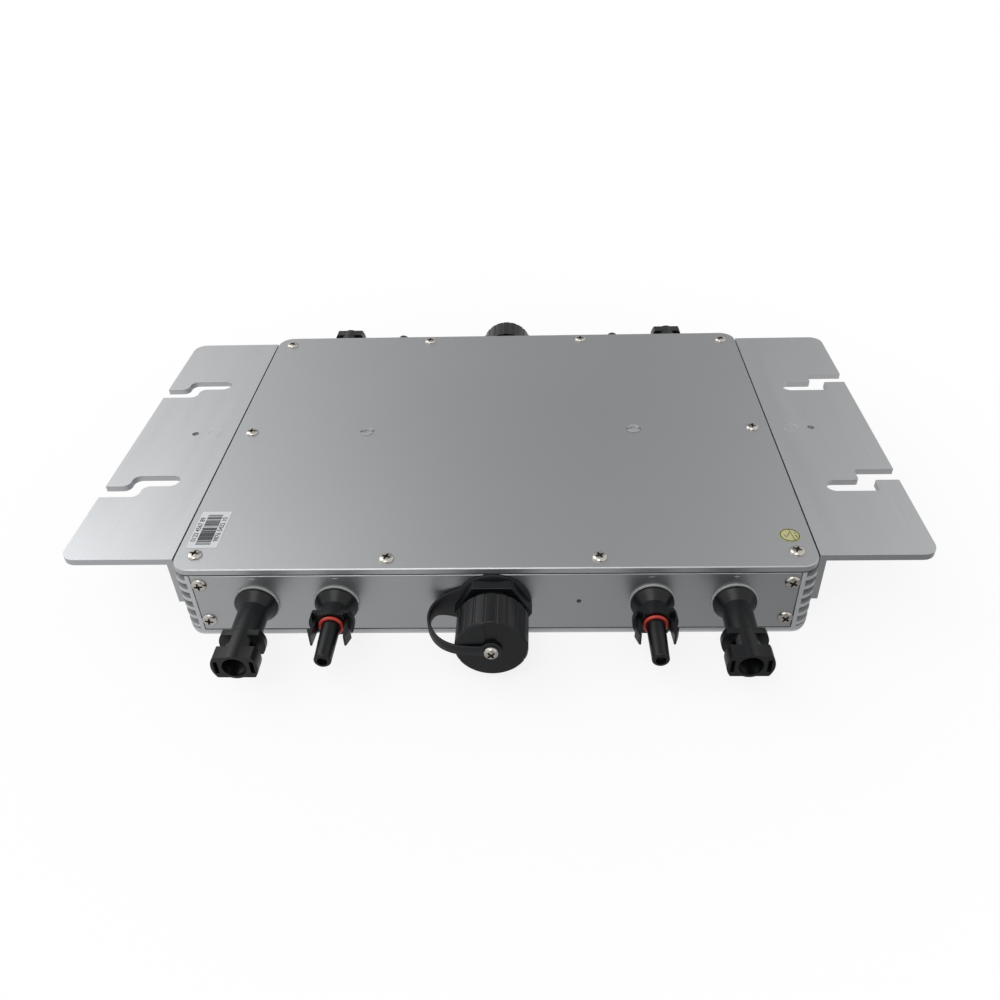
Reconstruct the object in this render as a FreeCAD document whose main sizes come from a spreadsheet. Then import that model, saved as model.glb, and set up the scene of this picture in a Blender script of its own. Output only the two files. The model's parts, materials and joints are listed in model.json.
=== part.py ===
import FreeCAD, Part
import os
import re

import Sketcher

# A four-input micro inverter: a shallow aluminium box that hangs under a solar panel. Two DC
# sockets, two DC plugs and one capped AC connector stand out of each end, and an L bracket with
# open slots runs along each side. X runs from bracket to bracket, the front end plate faces -Y
# and +Z is up. The origin is on the underside, at the middle of the box. Millimetres.

SIZES = {
    # Enclosure
    "body_length": 268.0,
    "body_depth": 208.0,
    "body_height": 36.8,
    "corner_radius": 8.0,
    "base_corner_radius": 5.5,
    "floor_thickness": 2.4,
    "cover_thickness": 2.8,
    "cover_side_gap": 0.5,
    "cover_edge_chamfer": 0.4,
    "gasket_thickness": 0.6,
    "gasket_setback": 0.2,
    "web_thickness": 3.0,
    "rib_depth": 6.4,
    "rib_pitch": 5.05,
    "rib_groove": 3.2,
    "last_groove": 0.7,
    "ledge_width": 5.7,
    "ledge_height": 4.0,
    "side_strip": 8.2,
    "plate_thickness": 3.0,
    "plate_gap": 0.3,
    "port_radius": 3.6,
    "port_inset": 11.6,
    "port_low": 8.5,
    "port_drop": 5.0,
    "lug_width": 10.0,
    "lug_depth": 7.5,
    "lug_height": 6.5,
    # Screws
    "cover_screw_radius": 1.5,
    "cover_screw_length": 5.6,
    "cover_screw_inset": 9.0,
    "cover_screw_corner": 9.3,
    "cover_screw_middle": 44.0,
    "cover_screw_edge": 6.4,
    "plate_screw_radius": 1.9,
    "plate_screw_length": 10.0,
    "pan_head_radius": 3.2,
    "pan_head_height": 1.4,
    "cross_width": 0.9,
    "cross_reach": 1.9,
    "cross_depth": 1.1,
    "screw_clearance": 0.05,
    "hole_clearance": 0.2,
    # Brackets
    "bracket_reach": 48.5,
    "bracket_length": 193.8,
    "bracket_thickness": 3.0,
    "bracket_drop": 24.2,
    "bracket_below_top": 0.2,
    "bracket_corner": 6.5,
    "slot_width": 8.4,
    "slot_step": 8.2,
    "slot_pitch": 89.4,
    "slot_start": 14.7,
    "slot_turn": 37.5,
    "slot_passage": 7.0,
    "left_slot_fillet": 3.4,
    "right_slot_fillet": 1.2,
    "earth_hole_radius": 1.65,
    "earth_hole_reach": 19.8,
    "bracket_screw_radius": 2.0,
    "bracket_screw_length": 12.0,
    "bracket_screw_head": 3.8,
    "bracket_screw_pitch": 70.0,
    "bracket_screw_height": 21.2,
    # Filler plugs in the cover
    "filler_place": 66.6,
    "filler_radius": 3.5,
    "filler_hole": 2.6,
    "filler_depth": 2.0,
    "filler_head": 2.4,
    "filler_dish_radius": 2.2,
    "filler_dish_depth": 1.2,
    "filler_stem": 2.6,
    # Labels
    "label_length": 25.0,
    "label_width": 13.3,
    "label_thickness": 0.12,
    "label_side": 3.6,
    "label_front": 14.0,
    "sticker_radius": 4.5,
    "sticker_side": 9.7,
    "sticker_front": 19.8,
    # DC connectors
    "connector_drop": 0.1,
    "socket_inset": 34.0,
    "connector_pitch": 34.0,
    "seal_radius": 9.6,
    "seal_thickness": 0.8,
    "flange_radius": 9.1,
    "flange_thickness": 1.2,
    "flange_cone": 3.8,
    "barrel_radius": 6.3,
    "stub_radius": 6.4,
    "stub_length": 9.0,
    "tail_length": 4.0,
    "lock_nut_flats": 17.0,
    "lock_nut_thickness": 3.5,
    "collar_radius": 9.3,
    "collar_half_height": 5.55,
    "collar_thickness": 3.0,
    "socket_collar_start": 21.0,
    "socket_head_start": 30.0,
    "socket_length": 36.3,
    "socket_neck_radius": 6.1,
    "socket_bore_radius": 4.8,
    "socket_bore_depth": 18.0,
    "window_margin": 0.6,
    "window_height": 7.6,
    "latch_slot_start": 6.25,
    "latch_slot_width": 1.65,
    "latch_slot_height": 6.4,
    "plug_collar_start": 10.0,
    "probe_root_radius": 3.9,
    "probe_tip_radius": 3.5,
    "probe_chamfer": 0.6,
    "probe_length": 33.3,
    "ring_groove_radius": 3.7,
    "ring_groove_width": 1.7,
    "ring_section": 0.75,
    "contact_radius": 2.0,
    "contact_chamfer": 0.7,
    "contact_recess": 6.0,
    "contact_tail_radius": 1.4,
    "plug_contact_recess": 3.0,
    "plug_contact_bore": 1.25,
    "plug_contact_depth": 14.0,
    # Latch fingers
    "latch_place": 6.5,
    "latch_root_radius": 1.0,
    "latch_pivot_depth": 0.3,
    "latch_clearance": 0.1,
    "latch_width": 1.5,
    "latch_length": 9.6,
    "latch_shoulder": 0.5,
    "latch_barb": 1.6,
    "latch_barb_place": 5.3,
    "latch_tip_width": 0.8,
    "latch_height": 5.2,
    # AC connector
    "ac_shoulder_gap": 0.7,
    "ac_shoulder_thickness": 3.0,
    "ac_barrel_radius": 12.4,
    "ac_length": 21.2,
    "ac_mouth_chamfer": 0.6,
    "ac_bore_radius": 10.0,
    "ac_bore_depth": 13.2,
    "ac_insert_depth": 14.0,
    "ac_pin_radius": 1.5,
    "ac_pin_circle": 5.5,
    "ac_pin_reach": 7.5,
    "ac_nut_flats": 28.0,
    "ac_nut_thickness": 5.5,
    # Dust cap and its tether
    "cap_radius": 14.7,
    "cap_start": 10.5,
    "cap_end": 27.0,
    "cap_wall_end": 2.6,
    "cap_bore_clearance": 0.08,
    "cap_edge_chamfer": 0.8,
    "cap_flute_radius": 0.9,
    "cap_flute_depth": 0.35,
    "cap_groove_width": 4.5,
    "cap_groove_depth": 0.4,
    "cap_seal_thickness": 1.1,
    "cap_seal_clearance": 0.1,
    "cap_screw_radius": 1.5,
    "cap_screw_head": 3.1,
    "cap_screw_head_height": 2.0,
    "cap_screw_bite": 1.9,
    "washer_radius": 2.75,
    "washer_play": 0.05,
    "washer_bore_clearance": 0.1,
    "strap_thickness": 1.2,
    "strap_width": 5.0,
    "strap_gap": 0.1,
    "strap_ring_radius": 15.9,
    "strap_ring_thickness": 1.5,
    "strap_tab_width": 17.0,
    "strap_reach": 26.9,
    "strap_eye_radius": 4.4,
    # Status lamp
    "lamp_place": 35.6,
    "lamp_height": 18.4,
    "lamp_window_radius": 1.0,
    "lamp_radius": 1.5,
    "lamp_length": 4.0,
    "lamp_leg": 0.5,
    "lamp_leg_reach": 9.0,
    # Main board and what it carries
    "board_side_gap": 3.8,
    "board_thickness": 1.6,
    "standoff_height": 5.0,
    "standoff_radius": 3.0,
    "standoff_inset": 10.0,
    "standoff_near": 35.0,
    "board_screw_radius": 1.5,
    "board_screw_length": 5.0,
    "board_screw_head": 2.8,
    "board_screw_head_height": 1.6,
    "strap_metal": 0.8,
    "strap_metal_width": 4.4,
    "strap_foot": 4.0,
    "strap_inset": 1.2,
    "core_length": 32.0,
    "core_depth": 16.0,
    "core_height": 21.0,
    "core_yoke": 4.0,
    "core_leg": 9.0,
    "winding_length": 22.4,
    "winding_depth": 27.0,
    "winding_clearance": 0.2,
    "transformer_across": 70.0,
    "transformer_along": 38.0,
    "capacitor_radius": 8.0,
    "capacitor_height": 20.0,
    "capacitor_bead": 3.0,
    "bead_depth": 0.6,
    "capacitor_inset": 12.0,
    "capacitor_near": 18.0,
    "capacitor_far": 54.0,
    "choke_radius": 14.0,
    "choke_bore": 7.5,
    "choke_height": 11.0,
    "choke_wire": 1.8,
    "choke_gap": 5.0,
    "choke_place": 52.0,
    "relay_length": 20.0,
    "relay_depth": 12.0,
    "relay_height": 15.5,
    "relay_across": 26.0,
    "relay_inset": 24.0,
    "bar_thickness": 6.0,
    "bar_length": 66.0,
    "bar_height": 18.0,
    "bar_place": 30.0,
    "transistor_width": 15.0,
    "transistor_thickness": 4.6,
    "transistor_height": 15.0,
    "transistor_pitch": 16.2,
    "transistor_lead": 1.0,
    "transistor_lead_pitch": 4.5,
    "transistor_lift": 2.4,
    "control_board_depth": 48.0,
    "control_board_height": 21.0,
    "chip_side": 11.0,
    "chip_thickness": 1.4,
    "chip_place": 12.0,
    "chip_lift": 6.0,
}

RIBS = 6
CAP_FLUTES = 20
HALF_TURN = FreeCAD.Rotation(FreeCAD.Vector(0, 0, 1), 180)
ROLLED = FreeCAD.Rotation(FreeCAD.Vector(0, 1, 0), 180)
UPRIGHT = FreeCAD.Rotation()
DIRECTIONS = {
    "x": FreeCAD.Vector(1, 0, 0),
    "y": FreeCAD.Vector(0, 1, 0),
    "z": FreeCAD.Vector(0, 0, 1),
}

doc = FreeCAD.newDocument("MicroInverter")
sheet = doc.addObject("Spreadsheet::Sheet", "Sizes")
for row, (alias, size) in enumerate(SIZES.items(), start=1):
    sheet.set(f"A{row}", alias)
    sheet.set(f"B{row}", str(size))
    sheet.setAlias(f"B{row}", alias)
doc.recompute()

nodes = []


# --- Helpers: each returns an object of the document, bound to the sheet ---


def bound(text):
    """Spell an expression over the sheet's aliases."""
    return re.sub(r"[a-z]\w+", lambda word: f"Sizes.{word[0]}" if word[0] in SIZES else word[0], text)


def value(text):
    """The number that an expression gives now."""
    return float(sheet.evalExpression(bound(text)))


def place(item, x="0", y="0", z="0", turn=UPRIGHT):
    """Turn an object, then move it to a bound position."""
    item.Placement = FreeCAD.Placement(FreeCAD.Vector(), turn)
    for axis, text in zip("xyz", (x, y, z)):
        if text != "0":
            item.setExpression(f".Placement.Base.{axis}", bound(text))
    return item


def box(x, y, z):
    """A block between a low and a high limit on each axis."""
    item = doc.addObject("Part::Box", "Block")
    for side, (low, high) in zip(("Length", "Width", "Height"), (x, y, z)):
        item.setExpression(side, bound(f"({high}) - ({low})"))
    return place(item, x[0], y[0], z[0])


def along(axis, low, centre):
    """The position of a round piece that starts at low on its axis."""
    spots = list(centre)
    spots.insert("xyz".index(axis), low)
    return spots


def rod(axis, radius, low, high, centre=("0", "0")):
    """A cylinder from low to high along an axis, centred on the two other axes."""
    item = doc.addObject("Part::Cylinder", "Rod")
    item.setExpression("Radius", bound(radius))
    item.setExpression("Height", bound(f"({high}) - ({low})"))
    turn = FreeCAD.Rotation(DIRECTIONS["z"], DIRECTIONS[axis])
    return place(item, *along(axis, low, centre), turn=turn)


def cone(axis, radius_low, radius_high, low, high, centre=("0", "0")):
    """A cone between two radii along an axis."""
    item = doc.addObject("Part::Cone", "Cone")
    item.setExpression("Radius1", bound(radius_low))
    item.setExpression("Radius2", bound(radius_high))
    item.setExpression("Height", bound(f"({high}) - ({low})"))
    turn = FreeCAD.Rotation(DIRECTIONS["z"], DIRECTIONS[axis])
    return place(item, *along(axis, low, centre), turn=turn)


def ring(axis, outer, inner, low, high):
    """A round ring or sleeve from low to high along an axis."""
    return cut(rod(axis, outer, low, high), rod(axis, inner, f"({low}) - 1", f"({high}) + 1"))


def nut(axis, flats, low, high):
    """A hexagonal prism, measured across its flats."""
    item = doc.addObject("Part::Prism", "Hexagon")
    item.Polygon = 6
    item.setExpression("Circumradius", bound(f"({flats}) / sqrt(3)"))
    item.setExpression("Height", bound(f"({high}) - ({low})"))
    turn = FreeCAD.Rotation(DIRECTIONS["z"], DIRECTIONS[axis])
    return place(item, *along(axis, low, ("0", "0")), turn=turn)


def fuse(*items):
    """One solid out of several that meet."""
    item = doc.addObject("Part::MultiFuse", "Fused")
    item.Shapes = list(items)
    item.Refine = True
    return item


def cut(base, *tools):
    """A base with every tool taken out of it."""
    item = doc.addObject("Part::Cut", "Machined")
    item.Base = base
    item.Tool = tools[0] if len(tools) == 1 else fuse(*tools)
    return item


def common(*items):
    """What several solids share."""
    item = doc.addObject("Part::MultiCommon", "Shared")
    item.Shapes = list(items)
    return item


def sketch(body, points):
    """A closed outline of straight sides on a body's XY plane, each corner bound to the sheet."""
    outline = body.newObject("Sketcher::SketchObject", "Outline")
    plane = next(feature for feature in body.Origin.OriginFeatures if feature.Role == "XY_Plane")
    outline.AttachmentSupport = [(plane, "")]
    outline.MapMode = "FlatFace"
    corners = [FreeCAD.Vector(value(x), value(y), 0) for x, y in points]
    count = len(corners)
    sides = [Part.LineSegment(corners[i], corners[(i + 1) % count]) for i in range(count)]
    outline.addGeometry(sides, False)
    outline.addConstraint([Sketcher.Constraint("Coincident", i, 2, (i + 1) % count, 1) for i in range(count)])
    for i, spot in enumerate(points):
        for axis, text, on_axis in zip("XY", spot, (-2, -1)):
            if text == "0":
                outline.addConstraint(Sketcher.Constraint("PointOnObject", i, 1, on_axis))
                continue
            rule = Sketcher.Constraint(f"Distance{axis}", -1, 1, i, 1, value(text))
            index = outline.addConstraint(rule)
            outline.setExpression(f"Constraints[{index}]", bound(text))
    return outline


def turned(points):
    """A piece turned about the Y axis from an outline of (radius, y) corners."""
    body = doc.addObject("PartDesign::Body", "Turned")
    outline = sketch(body, points)
    spin = body.newObject("PartDesign::Revolution", "Revolution")
    spin.Profile = outline
    spin.ReferenceAxis = (outline, ["V_Axis"])
    spin.Angle = 360
    doc.recompute()
    return body


def pad(points, height):
    """A plate of a given height with an outline of (x, y) corners."""
    body = doc.addObject("PartDesign::Body", "Plate")
    extrusion = body.newObject("PartDesign::Pad", "Pad")
    extrusion.Profile = sketch(body, points)
    extrusion.setExpression("Length", bound(height))
    doc.recompute()
    return body


def dress(body, kind, size, picked):
    """A fillet or chamfer on those edges of a body's tip for which picked(edge) is true."""
    base = body.Tip
    names = [f"Edge{i + 1}" for i, edge in enumerate(base.Shape.Edges) if picked(edge)]
    feature = body.newObject(f"PartDesign::{kind}", kind)
    feature.Base = (base, names)
    feature.setExpression({"Fillet": "Radius", "Chamfer": "Size"}[kind], bound(size))
    doc.recompute()
    return body


def is_upright(edge):
    """True for a straight edge along Z."""
    box_of_edge = edge.BoundBox
    return box_of_edge.XLength < 1e-6 and box_of_edge.YLength < 1e-6


def slab(x, y, height, radius, picked=is_upright):
    """A plate from z = 0 with rounded upright corners."""
    corners = [(x[0], y[0]), (x[1], y[0]), (x[1], y[1]), (x[0], y[1])]
    return dress(pad(corners, height), "Fillet", radius, picked)


def copy(master, x="0", y="0", z="0", turn=UPRIGHT):
    """A linked copy of a master piece at another place."""
    item = doc.addObject("App::Link", "Copy")
    item.LinkedObject = master
    item.LinkTransform = True
    return place(item, x, y, z, turn)


def node(label, *items):
    """Name the object, or the group of like objects, that is written as one file."""
    item = items[0]
    if len(items) > 1 or item.TypeId == "App::Link":
        item = doc.addObject("Part::Compound", "Group")
        item.Links = list(items)
    item.Label = label
    nodes.append(item)
    return item


def minus(text):
    """The same distance on the other side of the middle."""
    return f"-({text})"


def both(text):
    """A span of the same length each side of the middle."""
    return minus(text), text


# --- Levels and places that several pieces share ---

SIDE = "body_length / 2"
FACE = "body_depth / 2"
COVER_UNDER = "body_height - cover_thickness"
WALL_TOP = f"{COVER_UNDER} - gasket_thickness"
RIB_ROOT = f"{SIDE} - rib_depth"
WEB_INSIDE = f"{RIB_ROOT} - web_thickness"
FIRST_RIB = f"{COVER_UNDER} - rib_groove"
LEDGE_INSIDE = f"{RIB_ROOT} - ledge_width"
STRIP_INSIDE = f"{SIDE} - side_strip"
PORT_X = f"{SIDE} - port_inset"
PLATE_BACK = f"{FACE} - plate_thickness"
PORT_HIGH = f"{WALL_TOP} - port_drop"
SOCKET_X = f"{SIDE} - socket_inset"
PLUG_X = f"{SOCKET_X} - connector_pitch"
CONNECTOR_Z = f"(floor_thickness + {COVER_UNDER}) / 2 - connector_drop"
BRACKET_TOP = "body_height - bracket_below_top"
BOARD_UNDER = "floor_thickness + standoff_height"
BOARD_TOP = f"{BOARD_UNDER} + board_thickness"
WALL_SCREW_X = f"{SIDE} - cover_screw_inset"
CORNER_SCREW_Y = f"{FACE} - cover_screw_corner"
END_SCREW_Y = f"{FACE} - cover_screw_edge"

wall_screws = [(x, y) for x in both(WALL_SCREW_X) for y in (*both(CORNER_SCREW_Y), "0")]
end_screws = [(x, y) for x in both("cover_screw_middle") for y in both(END_SCREW_Y)]
cover_screw_places = wall_screws + end_screws
port_places = [(x, z) for x in both(PORT_X) for z in ("port_low", PORT_HIGH)]
bracket_screw_rows = ("-bracket_screw_pitch", "0", "bracket_screw_pitch")


# --- Base channel: an extruded aluminium tray, ribbed on both sides ---


def side_wall(sign):
    """One side wall of the extrusion: web, rib block, screw ledge and two screw ports."""
    outer = (RIB_ROOT, SIDE)
    web = (WEB_INSIDE, RIB_ROOT)
    ledge = (LEDGE_INSIDE, RIB_ROOT)
    if sign < 0:
        outer, web, ledge = ((minus(high), minus(low)) for low, high in (outer, web, ledge))
    port_x = PORT_X if sign > 0 else minus(PORT_X)
    return [
        box(outer, both(FACE), ("0", FIRST_RIB)),
        box(web, both(FACE), ("0", WALL_TOP)),
        box(ledge, both(FACE), (f"{WALL_TOP} - ledge_height", WALL_TOP)),
        rod("y", "port_radius", minus(FACE), FACE, (port_x, "port_low")),
        rod("y", "port_radius", minus(FACE), FACE, (port_x, PORT_HIGH)),
    ]


def side_grooves(sign):
    """The grooves between the ribs, and the narrow one under the last rib."""
    grooves = []
    for rib in range(RIBS):
        under = f"{FIRST_RIB} - {rib} * rib_pitch - (rib_pitch - rib_groove)"
        depth = "rib_groove" if rib < RIBS - 1 else "last_groove"
        reach = (RIB_ROOT, f"{SIDE} + 1")
        reach = reach if sign > 0 else (minus(reach[1]), minus(reach[0]))
        grooves.append(box(reach, both(f"{FACE} + 1"), (f"{under} - {depth}", under)))
    return grooves


floor = box(both(SIDE), both(FACE), ("0", "floor_thickness"))
blank = fuse(floor, *side_wall(-1), *side_wall(1))
plan = slab(both(SIDE), both(FACE), "body_height", "corner_radius")
section = slab(both(SIDE), ("0", "2 * body_height"), "body_depth", "base_corner_radius")
place(section, y=FACE, turn=FreeCAD.Rotation(DIRECTIONS["x"], 90))
plate_seats = [
    box(both(STRIP_INSIDE), span, ("floor_thickness", "body_height"))
    for span in ((f"{minus(FACE)} - 1", minus(PLATE_BACK)), (PLATE_BACK, f"{FACE} + 1"))
]
port_bores = [
    rod("y", "plate_screw_radius + screw_clearance", f"{minus(FACE)} - 1", f"{FACE} + 1", spot)
    for spot in port_places
]
cover_screw_end = "body_height - cover_screw_length - 0.5"
wall_taps = [
    rod("z", "cover_screw_radius + screw_clearance", cover_screw_end, "body_height", spot)
    for spot in wall_screws
]
bracket_taps = [
    rod("x", "bracket_screw_radius + screw_clearance", low, high, (y, "bracket_screw_height"))
    for low, high in ((WEB_INSIDE, f"{SIDE} + 1"), (f"{minus(SIDE)} - 1", minus(WEB_INSIDE)))
    for y in bracket_screw_rows
]
node("base_channel", cut(
    common(blank, plan, section),
    *side_grooves(-1), *side_grooves(1), *plate_seats, *port_bores, *wall_taps, *bracket_taps,
))


# --- Top cover, its gasket and its filler plugs ---

cover_half = f"{SIDE} - cover_side_gap"
lid = slab(both(cover_half), both(FACE), "cover_thickness", "corner_radius")
dress(lid, "Chamfer", "cover_edge_chamfer",
      lambda edge: edge.BoundBox.ZMin > value("cover_thickness") - 1e-6)
place(lid, z=COVER_UNDER)
filler_floor = "body_height - filler_depth"
cover_holes = [
    rod("z", "cover_screw_radius + hole_clearance", f"{COVER_UNDER} - 1", "body_height + 1", spot)
    for spot in cover_screw_places
]
for filler_x in both("filler_place"):
    cover_holes.append(rod("z", "filler_radius", filler_floor, "body_height + 1", (filler_x, "0")))
    cover_holes.append(rod("z", "filler_hole", f"{COVER_UNDER} - 1", filler_floor, (filler_x, "0")))
node("top_cover", cut(lid, *cover_holes))

gasket_outside = box(both(f"{RIB_ROOT} - gasket_setback"), both(f"{FACE} - gasket_setback"),
                     (WALL_TOP, COVER_UNDER))
gasket_inside = box(both(f"{LEDGE_INSIDE} + gasket_setback"), both(PLATE_BACK), (WALL_TOP, COVER_UNDER))
gasket_holes = [
    rod("z", "cover_screw_radius + hole_clearance", f"{WALL_TOP} - 1", "body_height", spot)
    for spot in wall_screws
]
node("cover_gasket", cut(gasket_outside, gasket_inside, *gasket_holes))

filler_plug = cut(
    fuse(rod("z", "filler_radius - screw_clearance", "0", "filler_head"),
         rod("z", "filler_hole - screw_clearance", minus("filler_stem"), "0")),
    rod("z", "filler_dish_radius", "filler_head - filler_dish_depth", "filler_head + 1"),
)
node("seal_plugs", *[copy(filler_plug, x, z=filler_floor) for x in both("filler_place")])


# --- Screws ---


def pan_head_screw(radius, length, head_radius, head_height):
    """A pan head screw that points down from z = 0, with a cross recess in its domed head."""
    head = [("0", "0"), (head_radius, "0"), (head_radius, f"{head_height} * 0.25"),
            (f"{head_radius} * 0.72", head_height), ("0", head_height)]
    dome = place(turned(head), turn=FreeCAD.Rotation(DIRECTIONS["x"], 90))
    shank = rod("z", radius, minus(length), "0")
    recess = (f"{head_height} - cross_depth", f"{head_height} + 1")
    blades = [
        box(both("cross_reach"), both("cross_width / 2"), recess),
        box(both("cross_width / 2"), both("cross_reach"), recess),
    ]
    return cut(fuse(dome, shank), *blades)


cover_screw = pan_head_screw("cover_screw_radius", "cover_screw_length", "pan_head_radius", "pan_head_height")
node("cover_screws", *[copy(cover_screw, x, y, "body_height") for x, y in cover_screw_places])

plate_screw = pan_head_screw("plate_screw_radius", "plate_screw_length", "pan_head_radius", "pan_head_height")
facing_front = FreeCAD.Rotation(DIRECTIONS["x"], 90)
facing_back = FreeCAD.Rotation(DIRECTIONS["x"], -90)
node("end_plate_screws", *[
    copy(plate_screw, x, y, z, turn)
    for y, turn in ((minus(FACE), facing_front), (FACE, facing_back))
    for x, z in port_places
])


# --- End plates ---


def end_plate(with_lamp):
    """An aluminium end plate in its front position, with two tapped lugs behind it."""
    sheet_metal = box(both(f"{STRIP_INSIDE} - plate_gap"), (minus(FACE), minus(PLATE_BACK)),
                      ("floor_thickness + plate_gap", f"{WALL_TOP} - 0.1"))
    lugs = [
        box((f"{x} - lug_width / 2", f"{x} + lug_width / 2"),
            (minus(PLATE_BACK), f"{minus(PLATE_BACK)} + lug_depth"),
            (f"{COVER_UNDER} - lug_height", COVER_UNDER))
        for x in both("cover_screw_middle")
    ]
    through = (f"{minus(FACE)} - 1", f"{minus(PLATE_BACK)} + 1")
    holes = [rod("y", "plate_screw_radius + hole_clearance", *through, spot) for spot in port_places]
    for x in (*both(SOCKET_X), *both(PLUG_X)):
        holes.append(rod("y", "stub_radius + hole_clearance", *through, (x, CONNECTOR_Z)))
    holes.append(rod("y", "ac_barrel_radius + hole_clearance", *through, ("0", CONNECTOR_Z)))
    for x in both("cover_screw_middle"):
        holes.append(rod("z", "cover_screw_radius + screw_clearance", cover_screw_end, "body_height",
                         (x, minus(END_SCREW_Y))))
    if with_lamp:
        holes.append(rod("y", "lamp_window_radius", *through, ("lamp_place", "lamp_height")))
    return cut(fuse(sheet_metal, *lugs), *holes)


node("front_end_plate", end_plate(with_lamp=True))
node("rear_end_plate", place(end_plate(with_lamp=False), turn=HALF_TURN))


# --- Mounting brackets: an L of 3 mm plate with two stepped slots that open at its outer edge ---


def stepped_slot(centre, fillet):
    """The cutter of one slot: in from the edge, one step across, then further in to a round end."""
    inner = f"{centre} - slot_step / 2"
    mouth = f"{centre} + slot_step / 2"
    half = "slot_width / 2"
    bend = f"{SIDE} + slot_turn"
    corners = [
        (f"{SIDE} + slot_start + {half}", f"{inner} - {half}"),
        (bend, f"{inner} - {half}"),
        (bend, f"{mouth} - {half}"),
        (f"{SIDE} + bracket_reach + 5", f"{mouth} - {half}"),
        (f"{SIDE} + bracket_reach + 5", f"{mouth} + {half}"),
        (f"{bend} - slot_passage", f"{mouth} + {half}"),
        (f"{bend} - slot_passage", f"{inner} + {half}"),
        (f"{SIDE} + slot_start + {half}", f"{inner} + {half}"),
    ]
    inside = value(f"{SIDE} + slot_start + slot_width")
    outside = value(f"{SIDE} + bracket_reach")
    cutter = dress(pad(corners, "body_height"), "Fillet", fillet,
                   lambda edge: is_upright(edge) and inside < edge.BoundBox.XMin < outside)
    round_end = rod("z", half, "0", "body_height", (f"{SIDE} + slot_start + {half}", inner))
    return [place(cutter), round_end]


wing_under = f"{BRACKET_TOP} - bracket_thickness"
wing = slab((SIDE, f"{SIDE} + bracket_reach"), both("bracket_length / 2"), "bracket_thickness",
            "bracket_corner", lambda edge: is_upright(edge) and edge.BoundBox.XMin > value(SIDE) + 1)
place(wing, z=wing_under)
leg = box((SIDE, f"{SIDE} + bracket_thickness"), both("bracket_length / 2"),
          (f"{BRACKET_TOP} - bracket_drop", BRACKET_TOP))
leg_face = f"{SIDE} + bracket_thickness"
leg_holes = [
    rod("x", "bracket_screw_radius + hole_clearance", f"{SIDE} - 1", f"{leg_face} + 1",
        (y, "bracket_screw_height"))
    for y in bracket_screw_rows
]
countersink = "bracket_screw_head - bracket_screw_radius"
leg_sinks = [
    cone("x", "bracket_screw_radius + screw_clearance", "bracket_screw_head + screw_clearance",
         f"{leg_face} - ({countersink})", leg_face, (y, "bracket_screw_height"))
    for y in bracket_screw_rows
]
earth_hole = rod("z", "earth_hole_radius", "0", "body_height + 1", (f"{SIDE} + earth_hole_reach", "0"))
bracket_blank = cut(fuse(wing, leg), earth_hole, *leg_holes, *leg_sinks)
for side, fillet, turn in (
    ("right", "right_slot_fillet", UPRIGHT),
    ("left", "left_slot_fillet", HALF_TURN),
):
    bracket = cut(copy(bracket_blank), *[
        cutter for centre in both("slot_pitch / 2") for cutter in stepped_slot(centre, fillet)
    ])
    node(f"{side}_mounting_bracket", copy(bracket, turn=turn))

bracket_screw = cut(
    fuse(
        rod("x", "bracket_screw_radius", "-bracket_screw_length", minus(countersink)),
        cone("x", "bracket_screw_radius", "bracket_screw_head", minus(countersink), "0"),
    ),
    nut("x", "bracket_screw_radius * 1.4", "-1.2", "1"),
)
node("bracket_screws", *[
    copy(bracket_screw, x, y, "bracket_screw_height", turn)
    for x, turn in ((leg_face, UPRIGHT), (minus(leg_face), HALF_TURN))
    for y in bracket_screw_rows
])


# --- Label and sticker on the cover ---

label_left = "-body_length / 2 + label_side"
label_near = "-body_depth / 2 + label_front"
node("barcode_label", box(
    (label_left, f"{label_left} + label_width"),
    (label_near, f"{label_near} + label_length"),
    ("body_height", "body_height + label_thickness"),
))
node("inspection_sticker", rod(
    "z", "sticker_radius", "body_height", "body_height + label_thickness",
    (f"{SIDE} - sticker_side", f"{minus(FACE)} + sticker_front"),
))


# --- DC connectors. Each master stands on the front face: its axis is Y and it points to -Y ---


def at_ends(master, places):
    """Copies of a connector piece at the given X places, on the front and on the rear face."""
    return [
        [copy(master, x, y, CONNECTOR_Z, turn) for x in places]
        for y, turn in ((minus(FACE), UPRIGHT), (FACE, HALF_TURN))
    ]


def flat_sided_disc(near, far):
    """A round collar with its top and bottom cut flat."""
    disc = rod("y", "collar_radius", far, near)
    return common(disc, box(both("collar_radius + 1"), (far, near), both("collar_half_height")))


STUB_END = "plate_thickness + stub_length"
TAIL_END = f"{STUB_END} + tail_length"
FLANGE_FACE = "-seal_thickness - flange_thickness"
FLANGED_STUB = [
    ("0", STUB_END),
    ("stub_radius", STUB_END),
    ("stub_radius", "-seal_thickness"),
    ("flange_radius", "-seal_thickness"),
    ("flange_radius", FLANGE_FACE),
    ("barrel_radius", f"{FLANGE_FACE} - flange_cone"),
]
CONTACT_TAIL = [
    ("0", TAIL_END),
    ("contact_tail_radius", TAIL_END),
    ("contact_tail_radius", STUB_END),
    ("contact_radius", STUB_END),
]

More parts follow.
